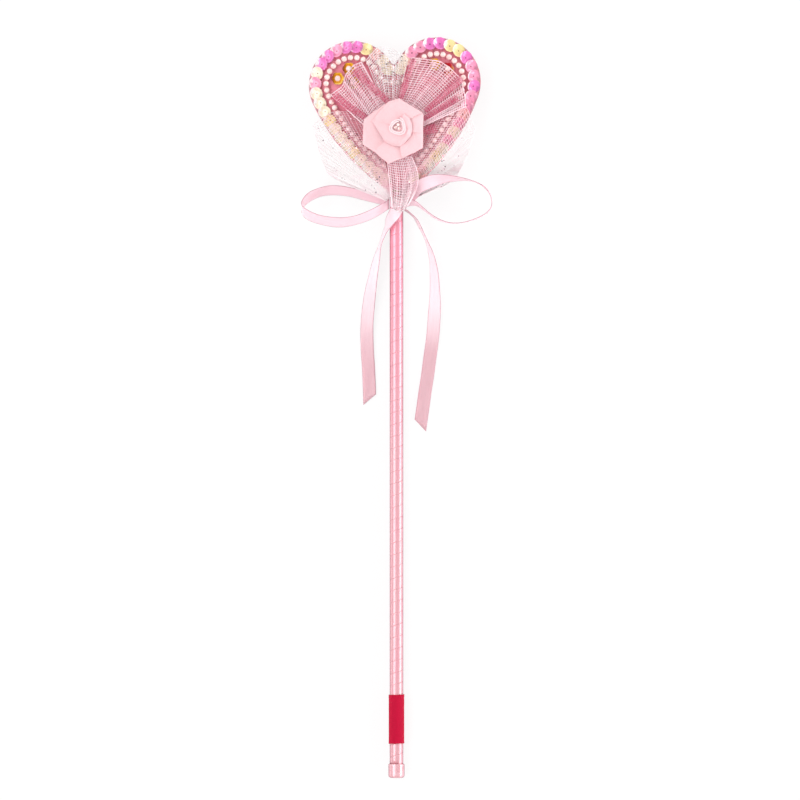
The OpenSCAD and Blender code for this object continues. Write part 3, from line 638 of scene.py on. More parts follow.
def net_finish(name, colour, dark, over):
    finish = Finish(name)
    place = finish.at()
    cloud = finish.grain(place, 220.0)
    twist = finish.grain(place, 2600.0)
    tone = finish.mix(cloud.span(0.4, 0.7), colour, dark)
    x, y, _ = finish.parts(place)
    flank = (y - x.sum("ABSOLUTE", x) * 1.135).span(-0.0465, -0.0425) * (1.0 - y.span(0.004, 0.018))
    tone = finish.mix(flank, tone, over)
    # Painted light: the net turns paler toward its low end by the knot, where it lies in shade
    painted_light_by_knot = 1.0 - y.span(-0.044, -0.035)
    tone = finish.mix(painted_light_by_knot, tone, linear(255, 236, 240))
    return finish.surface(
        Base_Color=tone,
        Roughness=0.5 + twist * 0.2,
        Normal=finish.bump(twist, 0.00004),
        Sheen_Weight=0.2,
        Specular_IOR_Level=0.4,
    )


# Film pieces carry their colour as a colour attribute; on the sequin and flower cups it holds painted highlight and
# painted shade
def film_finish(name, rough, metal):
    finish = Finish(name)
    tint = finish.node("ShaderNodeAttribute", {"attribute_name": "tint"})
    cloud = finish.grain(finish.at(), 900.0)
    return finish.surface(
        Base_Color=tint,
        Roughness=rough + cloud * 0.1,
        Metallic=metal,
        Normal=finish.bump(cloud, 0.00003),
        Coat_Weight=0.6,
        Coat_Roughness=0.06,
        Specular_IOR_Level=0.6,
    )


def pearl_finish(name, colour):
    finish = Finish(name)
    place = finish.at()
    lustre = finish.grain(place, 520.0)
    tone = finish.mix(lustre.span(0.42, 0.62), colour, linear(250, 206, 202))
    return finish.surface(
        Base_Color=tone,
        Roughness=0.22 + lustre * 0.1,
        Normal=finish.bump(lustre, 0.00002),
        Coat_Weight=0.8,
        Coat_Roughness=0.05,
        Subsurface_Weight=0.15,
        Subsurface_Radius=(0.001, 0.0007, 0.0006),
    )


def label_finish(name, colour):
    finish = Finish(name)
    place = finish.at()
    across = finish.parts(place)
    rib = (across[1] * 15000.0).wave()
    warp = (across[0] * 11000.0).wave()
    fuzz = finish.grain(place, 1500.0)
    weave = rib * 0.6 + warp * 0.4
    tone = finish.mix(weave.span(-0.9, 0.9), shade(colour, 0.72), colour)
    tone = finish.mix(fuzz.span(0.5, 0.8) * 0.15, tone, linear(230, 50, 90))
    return finish.surface(
        Base_Color=tone,
        Roughness=0.62 + fuzz * 0.2,
        Normal=finish.bump(weave + fuzz, 0.00006),
        Specular_IOR_Level=0.16,
    )


def plain_finish(name, colour, rough, grain_scale, depth):
    finish = Finish(name)
    place = finish.at()
    speck = finish.grain(place, grain_scale, 4.0)
    tone = finish.mix(speck.span(0.35, 0.7), colour, shade(colour, 0.86))
    return finish.surface(
        Base_Color=tone,
        Roughness=rough + speck * 0.12,
        Normal=finish.bump(speck, depth),
    )


def mesh_from(name, bm):
    """Mesh from a bmesh, which is used up."""
    mesh = bpy.data.meshes.new(name)
    bm.to_mesh(mesh)
    bm.free()
    return mesh


def add_object(name, data):
    obj = bpy.data.objects.new(name, data)
    bpy.context.scene.collection.objects.link(obj)
    return obj


def make_object(name, bm, material, slot, replaces=(), smooth=True):
    """Turn a bmesh into an object of the scene that rides on the frame's body."""
    mesh = mesh_from(name, bm)
    obj = add_object(name, mesh)
    mesh.materials.append(material)
    if smooth:
        mesh.shade_smooth()
    else:
        mesh.shade_flat()
    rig.ride(obj, "root")
    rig.slot(obj, slot)
    if replaces:
        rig.replaces(obj, *replaces)
    return obj


def thicken(obj, thickness, subdivide=0, rim=0.0):
    solid = obj.modifiers.new("Thickness", "SOLIDIFY")
    solid.thickness = thickness
    solid.offset = 0
    if rim:
        edge = obj.modifiers.new("Rim", "BEVEL")
        edge.width = rim
        edge.segments = 2
        edge.limit_method = "ANGLE"
    if subdivide:
        subsurf = obj.modifiers.new("Smooth", "SUBSURF")
        subsurf.levels = subdivide
        subsurf.render_levels = subdivide


def smooth_route(route, parts):
    """Points through the whole route, with its lean, on a Catmull-Rom curve."""
    points = [np.array(point, dtype=float) for point in route]
    points = [2 * points[0] - points[1]] + points + [2 * points[-1] - points[-2]]
    found = []
    for before, start, end, after in zip(points, points[1:], points[2:], points[3:]):
        for step in range(parts):
            t = step / parts
            found.append(0.5 * (
                2 * start + (end - before) * t
                + (2 * before - 5 * start + 4 * end - after) * t ** 2
                + (3 * start - before - 3 * end + after) * t ** 3))
    found.append(points[-2])
    return found


def on_line(points, share):
    """Point at a share of the way through a list of points, each span alike."""
    place = min(max(share, 0.0), 1.0) * (len(points) - 1)
    index = min(int(place), len(points) - 2)
    return Vector(points[index]).lerp(Vector(points[index + 1]), place - index)


def cloth_grid(columns, rows, place):
    """Grid of cloth whose points are placed from their shares across and along it."""
    bm = bmesh.new()
    bm.loops.layers.uv.new("UVMap")
    bmesh.ops.create_grid(bm, x_segments=columns, y_segments=rows, size=0.5, calc_uvs=True)
    for vert in bm.verts:
        vert.co = place(vert.co.x + 0.5, vert.co.y + 0.5)
    bm.normal_update()
    return bm


def ribbon_grid(route, flat, width, slant):
    """Satin ribbon that follows a route, and the points of its middle line."""
    points = smooth_route(route, 4)
    middles = [Vector(point[:3]) * MM for point in points]
    frames = []
    for index, point in enumerate(points):
        ahead = middles[min(index + 1, len(points) - 1)]
        way = (ahead - middles[max(index - 1, 0)]).normalized()
        lean = math.radians(point[3])
        tilt = math.cos(lean) * Vector(flat) + math.sin(lean) * Vector((0, 0, 1))
        across = (tilt - way * tilt.dot(way)).normalized()
        frames.append((across, across.cross(way), way))
    rows = len(points) - 1

    def place(share, along):
        index = round(along * rows)
        across, out, way = frames[index]
        side = share * 2 - 1
        cup = 0.35 * MM * (1 - side ** 2)
        ripple = 0.12 * MM * math.sin(along * 41 + side * 2)
        end = slant * MM * side * (index / rows) ** 40
        return middles[index] + across * side * width / 2 + out * (cup + ripple) + way * end

    return cloth_grid(8, rows, place), middles


def path_length(points):
    return sum((after - before).length for before, after in zip(points, points[1:]))


def surface_area(obj):
    return sum(face.area for face in obj.data.polygons)


def dress(node, material):
    """Give a CAD node that stays in sight its material."""
    materials = FRAME["nodes"][node].data.materials
    materials.clear()
    materials.append(material)


def box_middle(node):
    """Lowest and highest corner of a CAD node, and the middle between them."""
    low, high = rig.box(node)
    return low, high, (Vector(low) + Vector(high)) / 2


def joined(meshes):
    """One bmesh from several, which are used up."""
    whole = bmesh.new()
    for part in meshes:
        copy = mesh_from("copy", part)
        whole.from_mesh(copy)
        bpy.data.meshes.remove(copy)
    return whole


def cad_mesh(node):
    """Mesh of a CAD node in the shared frame."""
    bm = bmesh.new()
    bm.from_mesh(FRAME["nodes"][node].data)
    bm.transform(FRAME["nodes"][node].matrix_world)
    return bm


def face_out(bm):
    bmesh.ops.recalc_face_normals(bm, faces=bm.faces[:])


def weld(bm, distance=1e-6):
    bmesh.ops.remove_doubles(bm, verts=bm.verts[:], dist=distance)


def islands(node):
    """Centre, face direction and top of each loose solid of a CAD node."""
    bm = cad_mesh(node)
    weld(bm)
    todo = set(bm.verts)
    found = []
    while todo:
        group = [todo.pop()]
        for vert in group:
            for edge in vert.link_edges:
                other = edge.other_vert(vert)
                if other in todo:
                    todo.remove(other)
                    group.append(other)
        points = np.array([vert.co[:] for vert in group])
        centre = (points.max(axis=0) + points.min(axis=0)) / 2
        facing = np.linalg.svd(points - points.mean(axis=0), full_matrices=False)[2][2]
        if facing[2] < 0:
            facing = -facing
        found.append((Vector(centre), Vector(facing), float(points[:, 2].max())))
    bm.free()
    return found


def disc(bm, segments, radius):
    """Points of a filled circle."""
    return bmesh.ops.create_circle(bm, cap_ends=True, segments=segments, radius=radius)["verts"]


def disc_rings(bm, segments, start, rings):
    """Rings of a round cup, from a disc of the start's radius out: its points and radius in mm."""
    made = [(disc(bm, segments, start * MM), start)]
    for reach, height in rings:
        ring, before = made[-1]
        edges = {edge for vert in ring for edge in vert.link_edges}
        rim = [edge for edge in edges if all(end in ring for end in edge.verts)]
        grown = bmesh.ops.extrude_edge_only(bm, edges=rim)["geom"]
        verts = [item for item in grown if isinstance(item, bmesh.types.BMVert)]
        for vert in verts:
            vert.co.x *= reach / before
            vert.co.y *= reach / before
            vert.co.z = height * MM
        made.append((verts, reach))
    return made


def wires(bm, thread):
    """Turn each edge of a net into a thread."""
    bmesh.ops.wireframe(
        bm, faces=bm.faces[:], thickness=thread, offset=0, use_replace=True, use_boundary=True,
        use_even_offset=False)


class WAND_OT_stage(bpy.types.Operator):
    """Set up the floor, the light and the camera of the photograph"""
    bl_idname = "wand.stage"
    bl_label = "Stage"

    def execute(self, context):
        stage = context.scene.wand_stage
        scene = context.scene
        scene.view_settings.view_transform = "Standard"
        world = bpy.data.worlds.new("stage_world")
        scene.world = world
        world.use_nodes = True
        background = world.node_tree.nodes["Background"]
        background.inputs["Color"].default_value = rgba(linear(255, 253, 253))
        background.inputs["Strength"].default_value = stage.world
        bm = bmesh.new()
        bmesh.ops.create_grid(bm, x_segments=1, y_segments=1, size=3.0)
        floor = add_object("stage_floor", mesh_from("stage_floor", bm))
        floor.location.z = -0.2 * MM
        floor.data.materials.append(self.floor_finish())
        lamps = [
            self.lamp("stage_strip_left", (-0.6, -0.15, 0.8), -37, (0.62, 2.4), stage.strip * 0.6),
            self.lamp("stage_strip_right", (0.98, -0.15, 0.4), 68, (0.42, 2.4), stage.strip),
            self.lamp("stage_panel", (-0.2, 1.0, 1.3), 0, (1.2, 0.8), stage.key),
        ]
        camera = add_object("stage_camera", bpy.data.cameras.new("stage_camera"))
        camera.data.lens = stage.lens
        camera.data.sensor_width = SENSOR
        height = stage.frame_width * stage.lens / SENSOR
        camera.location = (stage.aim[0], stage.aim[1], height)
        camera.data.clip_end = 10
        scene.camera = camera
        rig.stage(floor, camera, *lamps)
        return {"FINISHED"}

    def lamp(self, name, place, lean, size, radiance):
        light = bpy.data.lights.new(name, "AREA")
        light.shape = "RECTANGLE"
        light.size = size[0]
        light.size_y = size[1]
        light.energy = radiance * math.pi * size[0] * size[1]
        obj = add_object(name, light)
        obj.location = place
        obj.rotation_euler = (0, math.radians(lean), 0)
        obj.visible_camera = False
        return obj

    def floor_finish(self):
        finish = Finish("stage_floor")
        cloud = finish.grain(finish.at(), 3.0)
        tone = finish.mix(cloud, (0.97, 0.97, 0.97), (0.99, 0.99, 0.99))
        cloth = finish.node("ShaderNodeBsdfDiffuse", inputs={"Color": tone})
        white = finish.node("ShaderNodeEmission", inputs={"Strength": 1.0})
        camera_ray = finish.node("ShaderNodeLightPath")
        mixed = finish.node("ShaderNodeMixShader", inputs={0: camera_ray * 0.85, 1: cloth, 2: white})
        finish.tree.links.new(mixed.socket, finish.end.inputs["Surface"])
        return finish.material


class Builder:
    """Operator that builds pieces from the scene's sizes and colours."""

    def execute(self, context):
        self.sizes = context.scene.wand_sizes
        self.colours = context.scene.wand_colours
        self.build()
        return {"FINISHED"}


class WAND_OT_bow(Builder, bpy.types.Operator):
    """Build the bow: two loops, two tails and the knot"""
    bl_idname = "wand.bow"
    bl_label = "Bow"

    def build(self):
        # Painted shade along the sides and cut edges of the bow's ribbons
        edge_band = linear(206, 148, 164)
        loop_satin = satin_finish(
            "bow_loop_satin", self.colours.bow, "UV", (40, 900, 40), rough=0.36, edge_band=edge_band)
        for name, (route, flat, far_end, slant) in ROUTES.items():
            bm, middles = ribbon_grid(route, flat, self.sizes.ribbon_width, slant)
            satin = loop_satin
            if name in TAIL_FADES:
                # Each tail fades from a painted highlight to painted shade, and the right tail gets more painted shade
                span, depth = TAIL_FADES[name]
                end = shade(self.colours.bow_end, depth)
                satin = satin_finish(
                    name + "_satin", self.colours.tail, "UV", (40, 900, 40), end, span, 0.36, edge_band)
            obj = make_object(name + "_ribbon", bm, satin, "bow_satin", [name])
            thicken(obj, self.sizes.ribbon_thickness)
            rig.cord(
                obj, middles[0], path_length(middles), self.sizes.ribbon_width, far_end,
                stiffness="medium", lay="loose", path=middles)
        self.knot(loop_satin)

    def knot(self, satin):
        low, high, centre = box_middle("bow_knot")
        half = (high[0] - low[0]) / 2
        radius = (high[2] - low[2]) / 2

        def place(share, along):
            angle = share * math.tau
            side = along * 2 - 1
            pinch = 1 - 0.16 * (1 - abs(side)) ** 2 - 0.3 * abs(side) ** 6
            crease = 1 + 0.05 * math.sin(angle * 5 + side * 3) + 0.03 * math.sin(side * 14 + angle)
            reach = radius * 0.95 * pinch * crease
            return centre + Vector((side * half, math.cos(angle) * reach, -math.sin(angle) * reach))

        bm = cloth_grid(48, 24, place)
        weld(bm, 1e-7)
        bmesh.ops.holes_fill(bm, edges=[edge for edge in bm.edges if edge.is_boundary], sides=0)
        face_out(bm)
        obj = make_object("bow_knot_satin", bm, satin, "bow_satin", ["bow_knot"])
        flat = (1.5 * self.sizes.ribbon_width, 1.06 * math.tau * radius)
        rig.sheet(obj, flat, "folded", area=max(surface_area(obj) / 2, LEAST_COVER * flat[0] * flat[1]))


class WAND_OT_rod(Builder, bpy.types.Operator):
    """Wind the satin ribbon on the dowel and finish the cap"""
    bl_idname = "wand.rod"
    bl_label = "Rod"

    def build(self):
        low, high, axis = box_middle("rod_wrap")
        radius = (high[0] - low[0]) / 2
        pitch = self.sizes.wrap_pitch
        turns = math.ceil((high[1] - low[1]) / pitch) + 2
        start = low[1] - pitch
        bm = bmesh.new()
        profile = [(0.99, 0.0), (1.0, 0.05), (1.0, 0.2), (1.0, 0.8), (0.9995, 0.95), (0.9985, 1.0)]
        verts = [
            bm.verts.new((axis.x + radius * share, start + pitch * along, axis.z))
            for share, along in profile]
        edges = [bm.edges.new(pair) for pair in zip(verts, verts[1:])]
        steps = 40
        bmesh.ops.spin(
            bm, geom=verts + edges, cent=axis, axis=(0, 1, 0), dvec=(0, pitch / steps, 0),
            angle=math.tau * turns, steps=steps * turns)
        for height, outward in ((low[1], -1), (high[1], 1)):
            bmesh.ops.bisect_plane(
                bm, geom=bm.verts[:] + bm.edges[:] + bm.faces[:], plane_co=(0, height, 0),
                plane_no=(0, outward, 0), clear_outer=True)
        face_out(bm)
        obj = make_object("rod_winding", bm, self.rod_finish(), "rod_satin", ["rod_wrap"])
        thicken(obj, 0.12 * MM)
        dress("end_cap", self.cap_finish())
        dress("rod_core", plain_finish("dowel_wood", linear(226, 200, 160), 0.6, 90.0, 0.0001))

    def rod_finish(self):
        """Glossy satin, deeper in colour toward the heart, with its threads along the ribbon."""
        finish = Finish("rod_satin")
        place = finish.at()
        across = finish.parts(place)
        streak = finish.grain(finish.stretched(place, (900.0, 40.0, 900.0)), 1.0)
        thread = (across[1] * 9000.0 + across[0] * 1500.0).wave()
        body = finish.mix(across[1].span(-0.2, -0.05), self.colours.rod_low, self.colours.rod)
        tone = finish.mix(streak.span(0.4, 0.75) * 0.4, body, linear(250, 150, 176))
        # Painted shade: where the ribbon turns away from the eye it takes the darker colour below, standing for dark
        # reflections at the rod's edges
        return glossy_surface(
            finish, tone, linear(150, 78, 98), 0.35, 0.7, 0.16, 0.28 + streak * 0.1,
            finish.bump(thread * 0.3 + streak, 0.00001, 0.4))

    def cap_finish(self):
        finish = Finish("cap_plastic")
        place = finish.at()
        cloud = finish.grain(place, 240.0)
        tone = finish.mix(cloud.span(0.4, 0.65), self.colours.rod_low, linear(244, 192, 200))
        # Painted shade: where the cap turns away from the eye it takes the darker colour below, standing for dark
        # reflections
        return glossy_surface(
            finish, tone, linear(160, 90, 108), 0.3, 0.6, 0.14, 0.24 + cloud * 0.08,
            finish.bump(cloud, 0.00004))


class WAND_OT_label(Builder, bpy.types.Operator):
    """Fold the bare woven label round the dowel"""
    bl_idname = "wand.label"
    bl_label = "Label"

    def build(self):
        low, high, axis = box_middle("label_band")
        radius = (high[0] - low[0]) / 2
        inset = 0.6 * MM
        tall = high[1] - low[1] - 2 * inset

        def place(share, along):
            angle = share * math.tau - math.pi / 2
            edge_band = 0.05 * MM if along < 0.05 or along > 0.95 else 0.0
            lap = 0.1 * MM if share < 0.04 else 0.0
            drift = 0.05 * MM * noise.noise(Vector((math.cos(angle), along * 9, math.sin(angle))))
            reach = radius - 0.1 * MM + edge_band + lap + drift
            slope = 0.12 * MM * math.cos(angle)
            frill = 0.18 * MM * noise.noise(Vector((math.cos(angle) * 6, math.sin(angle) * 6, 3)))
            y = low[1] + inset + tall * along + slope + frill * (2 * along - 1)
            return Vector((axis.x + reach * math.cos(angle), y, axis.z + reach * math.sin(angle)))

        bm = cloth_grid(64, 60, place)
        face_out(bm)
        obj = make_object(
            "label_bare", bm, label_finish("label_woven", self.colours.label), "label_woven", ["label_band"])
        thicken(obj, 0.3 * MM)
        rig.sheet(obj, (tall, math.tau * radius), "folded")


class WAND_OT_heart(Builder, bpy.types.Operator):
    """Build the padded heart: covered front over its padding, and the flat covered back"""
    bl_idname = "wand.heart"
    bl_label = "Heart"

    def build(self):
        # The heart satin's rim colour is painted shade along its outer edge
        satin = satin_finish(
            "heart_satin", self.colours.heart, "Object", (1400, 5200, 1400), rim=linear(160, 58, 80))
        obj = self.front(satin)
        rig.padded(obj, 0.45)
        self.back(satin)
        dress("heart_board", plain_finish("board_foam", (0.9, 0.9, 0.88), 0.8, 700.0, 0.0001))

    def front(self, satin):
        bm = joined([cad_mesh(name) for name in ("heart_board", "heart_wadding", "heart_front_cover")])
        weld(bm)
        obj = make_object(
            "heart_padded_front", bm, satin, "heart_satin", ["heart_front_cover", "heart_wadding"])
        remesh = obj.modifiers.new("Remesh", "REMESH")
        remesh.mode = "VOXEL"
        remesh.voxel_size = HEART_VOXEL * MM
        self.settle(obj)
        self.ease(obj)
        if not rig.quick():
            self.swell(obj)
        self.pucker(obj)
        return obj

    def settle(self, obj):
        graph = bpy.context.evaluated_depsgraph_get()
        made = bpy.data.meshes.new_from_object(obj.evaluated_get(graph))
        obj.modifiers.clear()
        obj.data = made
        made.shade_smooth()

    def stitches(self):
        """Places where the sequins and pearls are sewn through the satin."""
        found = []
        for name in (*SEQUIN_ROWS, "pearl_row_left", "pearl_row_right"):
            found += [centre[:2] for centre, _, _ in islands(name)]
        return np.array(found)

    def ease(self, obj):
        """Ease the voxel steps out of the satin and start it a little under size."""
        bm = bmesh.new()
        bm.from_mesh(obj.data)
        low = min(vert.co.z for vert in bm.verts)
        loose = [vert for vert in bm.verts if vert.co.z > low + 0.8 * MM]
        for _ in range(4):
            bmesh.ops.smooth_vert(
                bm, verts=loose, factor=0.5, use_axis_x=True, use_axis_y=True, use_axis_z=True)
        bm.normal_update()
        for vert in loose:
            vert.co -= vert.normal * HEART_UNDER * MM
        bm.to_mesh(obj.data)
        bm.free()

    def swell(self, obj):
        """Let pressure swell the sewn satin as cloth, and keep the shape that it takes."""
        flat = self.stitches()
        start = np.array([vert.co[:] for vert in obj.data.vertices])
        low = start[:, 2].min()
        gaps = np.array([np.min(np.hypot(*(flat - point[:2]).T)) for point in start])
        held = (gaps < HELD_STITCH * MM) & (start[:, 2] > low + FRONT_LEVEL * MM)
        sewn = held | (start[:, 2] < low + HELD_EDGE * MM)
        group = obj.vertex_groups.new(name="sewn")
        group.add([int(index) for index in np.flatnonzero(sewn)], 1.0, "REPLACE")
        cloth = obj.modifiers.new("Cloth", "CLOTH")
        for key, value in CLOTH.items():
            setattr(cloth.settings, key, value)
        cloth.settings.effector_weights.gravity = 0
        cloth.collision_settings.use_collision = False
        cloth.point_cache.frame_end = CLOTH_FRAMES
        for frame in range(1, CLOTH_FRAMES + 1):
            bpy.context.scene.frame_set(frame)
        graph = bpy.context.evaluated_depsgraph_get()
        made = obj.evaluated_get(graph).to_mesh()
        moved = np.array([vert.co[:] for vert in made.vertices]) - start
        obj.evaluated_get(graph).to_mesh_clear()
        obj.modifiers.remove(cloth)
        bpy.context.scene.frame_set(1)
        reach = np.linalg.norm(moved, axis=1)
        share = np.minimum(1.0, HEART_SWELL * MM / np.maximum(reach, 1e-9))
        for vert, point in zip(obj.data.vertices, start + moved * share[:, None]):
            vert.co = point

    def pucker(self, obj):
        """Draw the satin in at each stitch, with slight unevenness over the padding."""
        flat = self.stitches()
        bm = bmesh.new()
        bm.from_mesh(obj.data)
        bm.normal_update()
        for vert in bm.verts:
            side = 1 - abs(vert.normal.z)
            if vert.normal.z > 0.5:
                gap = np.min(np.hypot(flat[:, 0] - vert.co.x, flat[:, 1] - vert.co.y))
                vert.co.z -= STITCH_DRAW * MM * math.exp(-(gap / (STITCH_PUCKER * MM)) ** 2)
            swell = noise.noise(Vector(vert.co) * 90) * UNEVEN * MM
            vert.co += vert.normal * swell * (0.4 + 0.6 * side)
        bm.to_mesh(obj.data)
        bm.free()
        obj.data.shade_smooth()

    def back(self, satin):
        bm = cad_mesh("heart_back_cover")
        weld(bm)
        bmesh.ops.dissolve_limit(bm, angle_limit=0.02, verts=bm.verts[:], edges=bm.edges[:])
        rim = [edge for edge in bm.edges if len(edge.link_faces) == 2 and edge.calc_face_angle() > 1.0]
        bmesh.ops.bevel(
            bm, geom=rim, offset=0.25 * MM, segments=2, profile=0.5, affect="EDGES", material=-1)
        obj = make_object("heart_covered_back", bm, satin, "heart_satin", ["heart_back_cover"])
        weighted = obj.modifiers.new("Normals", "WEIGHTED_NORMAL")
        weighted.keep_sharp = False


class WAND_OT_sequins(Builder, bpy.types.Operator):
    """Sew the cup sequins along the heart's edge"""
    bl_idname = "wand.sequins"
    bl_label = "Sequins"

    def build(self):
        film = film_finish("sequin_film", 0.16, 0.1)
        for name, letters in SEQUIN_ROWS.items():
            side = -1 if name.endswith("left") else 1
            found = islands(name)
            found.sort(key=lambda item: self.turn(item[0], side))
            bm = bmesh.new()
            tint = bm.verts.layers.float_color.new("tint")
            for index, (centre, facing, _) in enumerate(found):
                ahead = found[min(index + 1, len(found) - 1)][0] - found[max(index - 1, 0)][0]
                inward = facing.cross(ahead).normalized() * side * -SEQUIN_INWARD * MM
                colour = SEQUIN_COLOURS[letters[index % len(letters)]]
                self.cup(bm, tint, centre + inward, facing, ahead.normalized(), colour)
            obj = make_object(name + "_cups", bm, film, "sequin_film", [name], smooth=False)
            thicken(obj, SEQUIN_FILM * MM)

    def turn(self, centre, side):
        angle = math.atan2(centre.y - LOBE_MIDDLE[1] * MM, centre.x * side - LOBE_MIDDLE[0] * MM)
        return (math.radians(CLEFT_TURN) - angle) % math.tau

    def cup(self, bm, tint, centre, facing, ahead, colour):
        """One cup: a small hole, a flat floor and a faceted brim, with a painted highlight on the side toward
        SEQUIN_LIGHT and painted shade on the far side.
        """
        radius = SEQUIN_RINGS[-1][0] * MM
        along = (ahead - facing * ahead.dot(facing)).normalized()
        turn = Matrix((along, facing.cross(along), facing)).transposed().to_4x4()
        # Painted highlight in near white and painted shade in a darker copy of the sequin's colour
        white = Vector((1.0, 0.97, 0.96))
        painted_shade = Vector(colour) * 0.6
        for verts, reach in disc_rings(bm, 14, SEQUIN_HOLE, SEQUIN_RINGS):
            for vert in verts:
                out = turn @ vert.co
                lead = (SEQUIN_LIGHT[0] * out.x + SEQUIN_LIGHT[1] * out.y) / radius
                tone = Vector(colour)
                if reach == SEQUIN_HOLE:
                    tone = Vector(colour).lerp(Vector(linear(96, 40, 50)), 0.75)
                # painted highlight on the side toward the light, painted shade on the far side
                elif lead > SEQUIN_LIT:
                    tone = white
                elif lead < SEQUIN_SHADED:
                    tone = painted_shade
                vert[tint] = (*tone, 1.0)
                vert.co = out + centre - facing * SEQUIN_SINK * MM


class WAND_OT_pearls(Builder, bpy.types.Operator):
    """String the pearls along the heart and set one in each flower cup"""
    bl_idname = "wand.pearls"
    bl_label = "Pearls"

    def build(self):
        coat = pearl_finish("pearl_coat", self.colours.pearl)
        bead = pearl_finish("bead_gloss", linear(252, 238, 236))
        for name, finish, slot in (
                ("pearl_row_left", coat, "pearl_coat"), ("pearl_row_right", coat, "pearl_coat"),
                ("flower_pearls", coat, "pearl_coat"), ("rose_beads", bead, "bead")):
            bm = bmesh.new()
            for centre, _, top in islands(name):
                self.pearl(bm, centre, top - centre.z)
            make_object(name + "_round", bm, finish, slot, [name])

    def pearl(self, bm, centre, radius):
        chance = random.Random(round(centre.x * 1e6) + round(centre.y * 1e6))
        made = bmesh.ops.create_uvsphere(bm, u_segments=16, v_segments=10, radius=radius)["verts"]
        lean = Matrix.Rotation(math.radians(90 + chance.uniform(-PEARL_LEAN, PEARL_LEAN)), 4, "X")
        spin = Matrix.Rotation(chance.uniform(0, math.tau), 4, "Z")
        for vert in made:
            if abs(vert.co.z) > radius * 0.99:
                vert.co.z *= PEARL_DIMPLE
            vert.co = Matrix.Translation(centre) @ spin @ lean @ vert.co


class WAND_OT_flowers(Builder, bpy.types.Operator):
    """Set the scalloped flower cups on the lobes"""
    bl_idname = "wand.flowers"
    bl_label = "Flower cups"

    def build(self):
        film = film_finish("flower_film", 0.2, 0.15)
        for name, colour, slot in (
                ("flower_cups_gold", self.colours.gold, "gold_film"),
                ("flower_cups_red", self.colours.red, "red_film")):
            bm = bmesh.new()
            tint = bm.verts.layers.float_color.new("tint")
            for centre, _, top in islands(name):
                base = Vector((centre.x, centre.y, top - FLOWER_HEIGHT * MM))
                self.cup(bm, tint, base, colour)
            obj = make_object(name + "_scalloped", bm, film, slot, [name])
            thicken(obj, FLOWER_FILM * MM)

    def cup(self, bm, tint, base, colour):
        """One cup: a floor and a scalloped brim, with painted shade on the left and a painted highlight on the lower
        right.
        """
        radius = FLOWER_RINGS[-1][0] * MM
        for verts, reach in disc_rings(bm, 48, FLOWER_FLOOR, FLOWER_RINGS):
            share = 0.0 if reach == FLOWER_FLOOR else reach * MM / radius
            for vert in verts:
                angle = math.atan2(vert.co.y, vert.co.x)
                scallop = 1 + share ** 2 * FLOWER_SCALLOP * (abs(math.cos(angle * 3)) - 0.64)
                vert.co.x *= scallop
                vert.co.y *= scallop
                # Painted shade darkens the brim's left side, and a painted highlight lightens its lower right
                dark = max(0.0, -vert.co.x / radius) * share
                painted_highlight = max(0.0, (vert.co.x - vert.co.y) / radius) * share
                tone = Vector(colour).lerp(Vector(linear(140, 20, 14)), min(1.0, dark * 1.1))
                tone = tone.lerp(Vector(linear(255, 236, 130)), min(0.6, painted_highlight * 0.6))
                vert[tint] = (*tone, 1.0)
                vert.co = base + vert.co


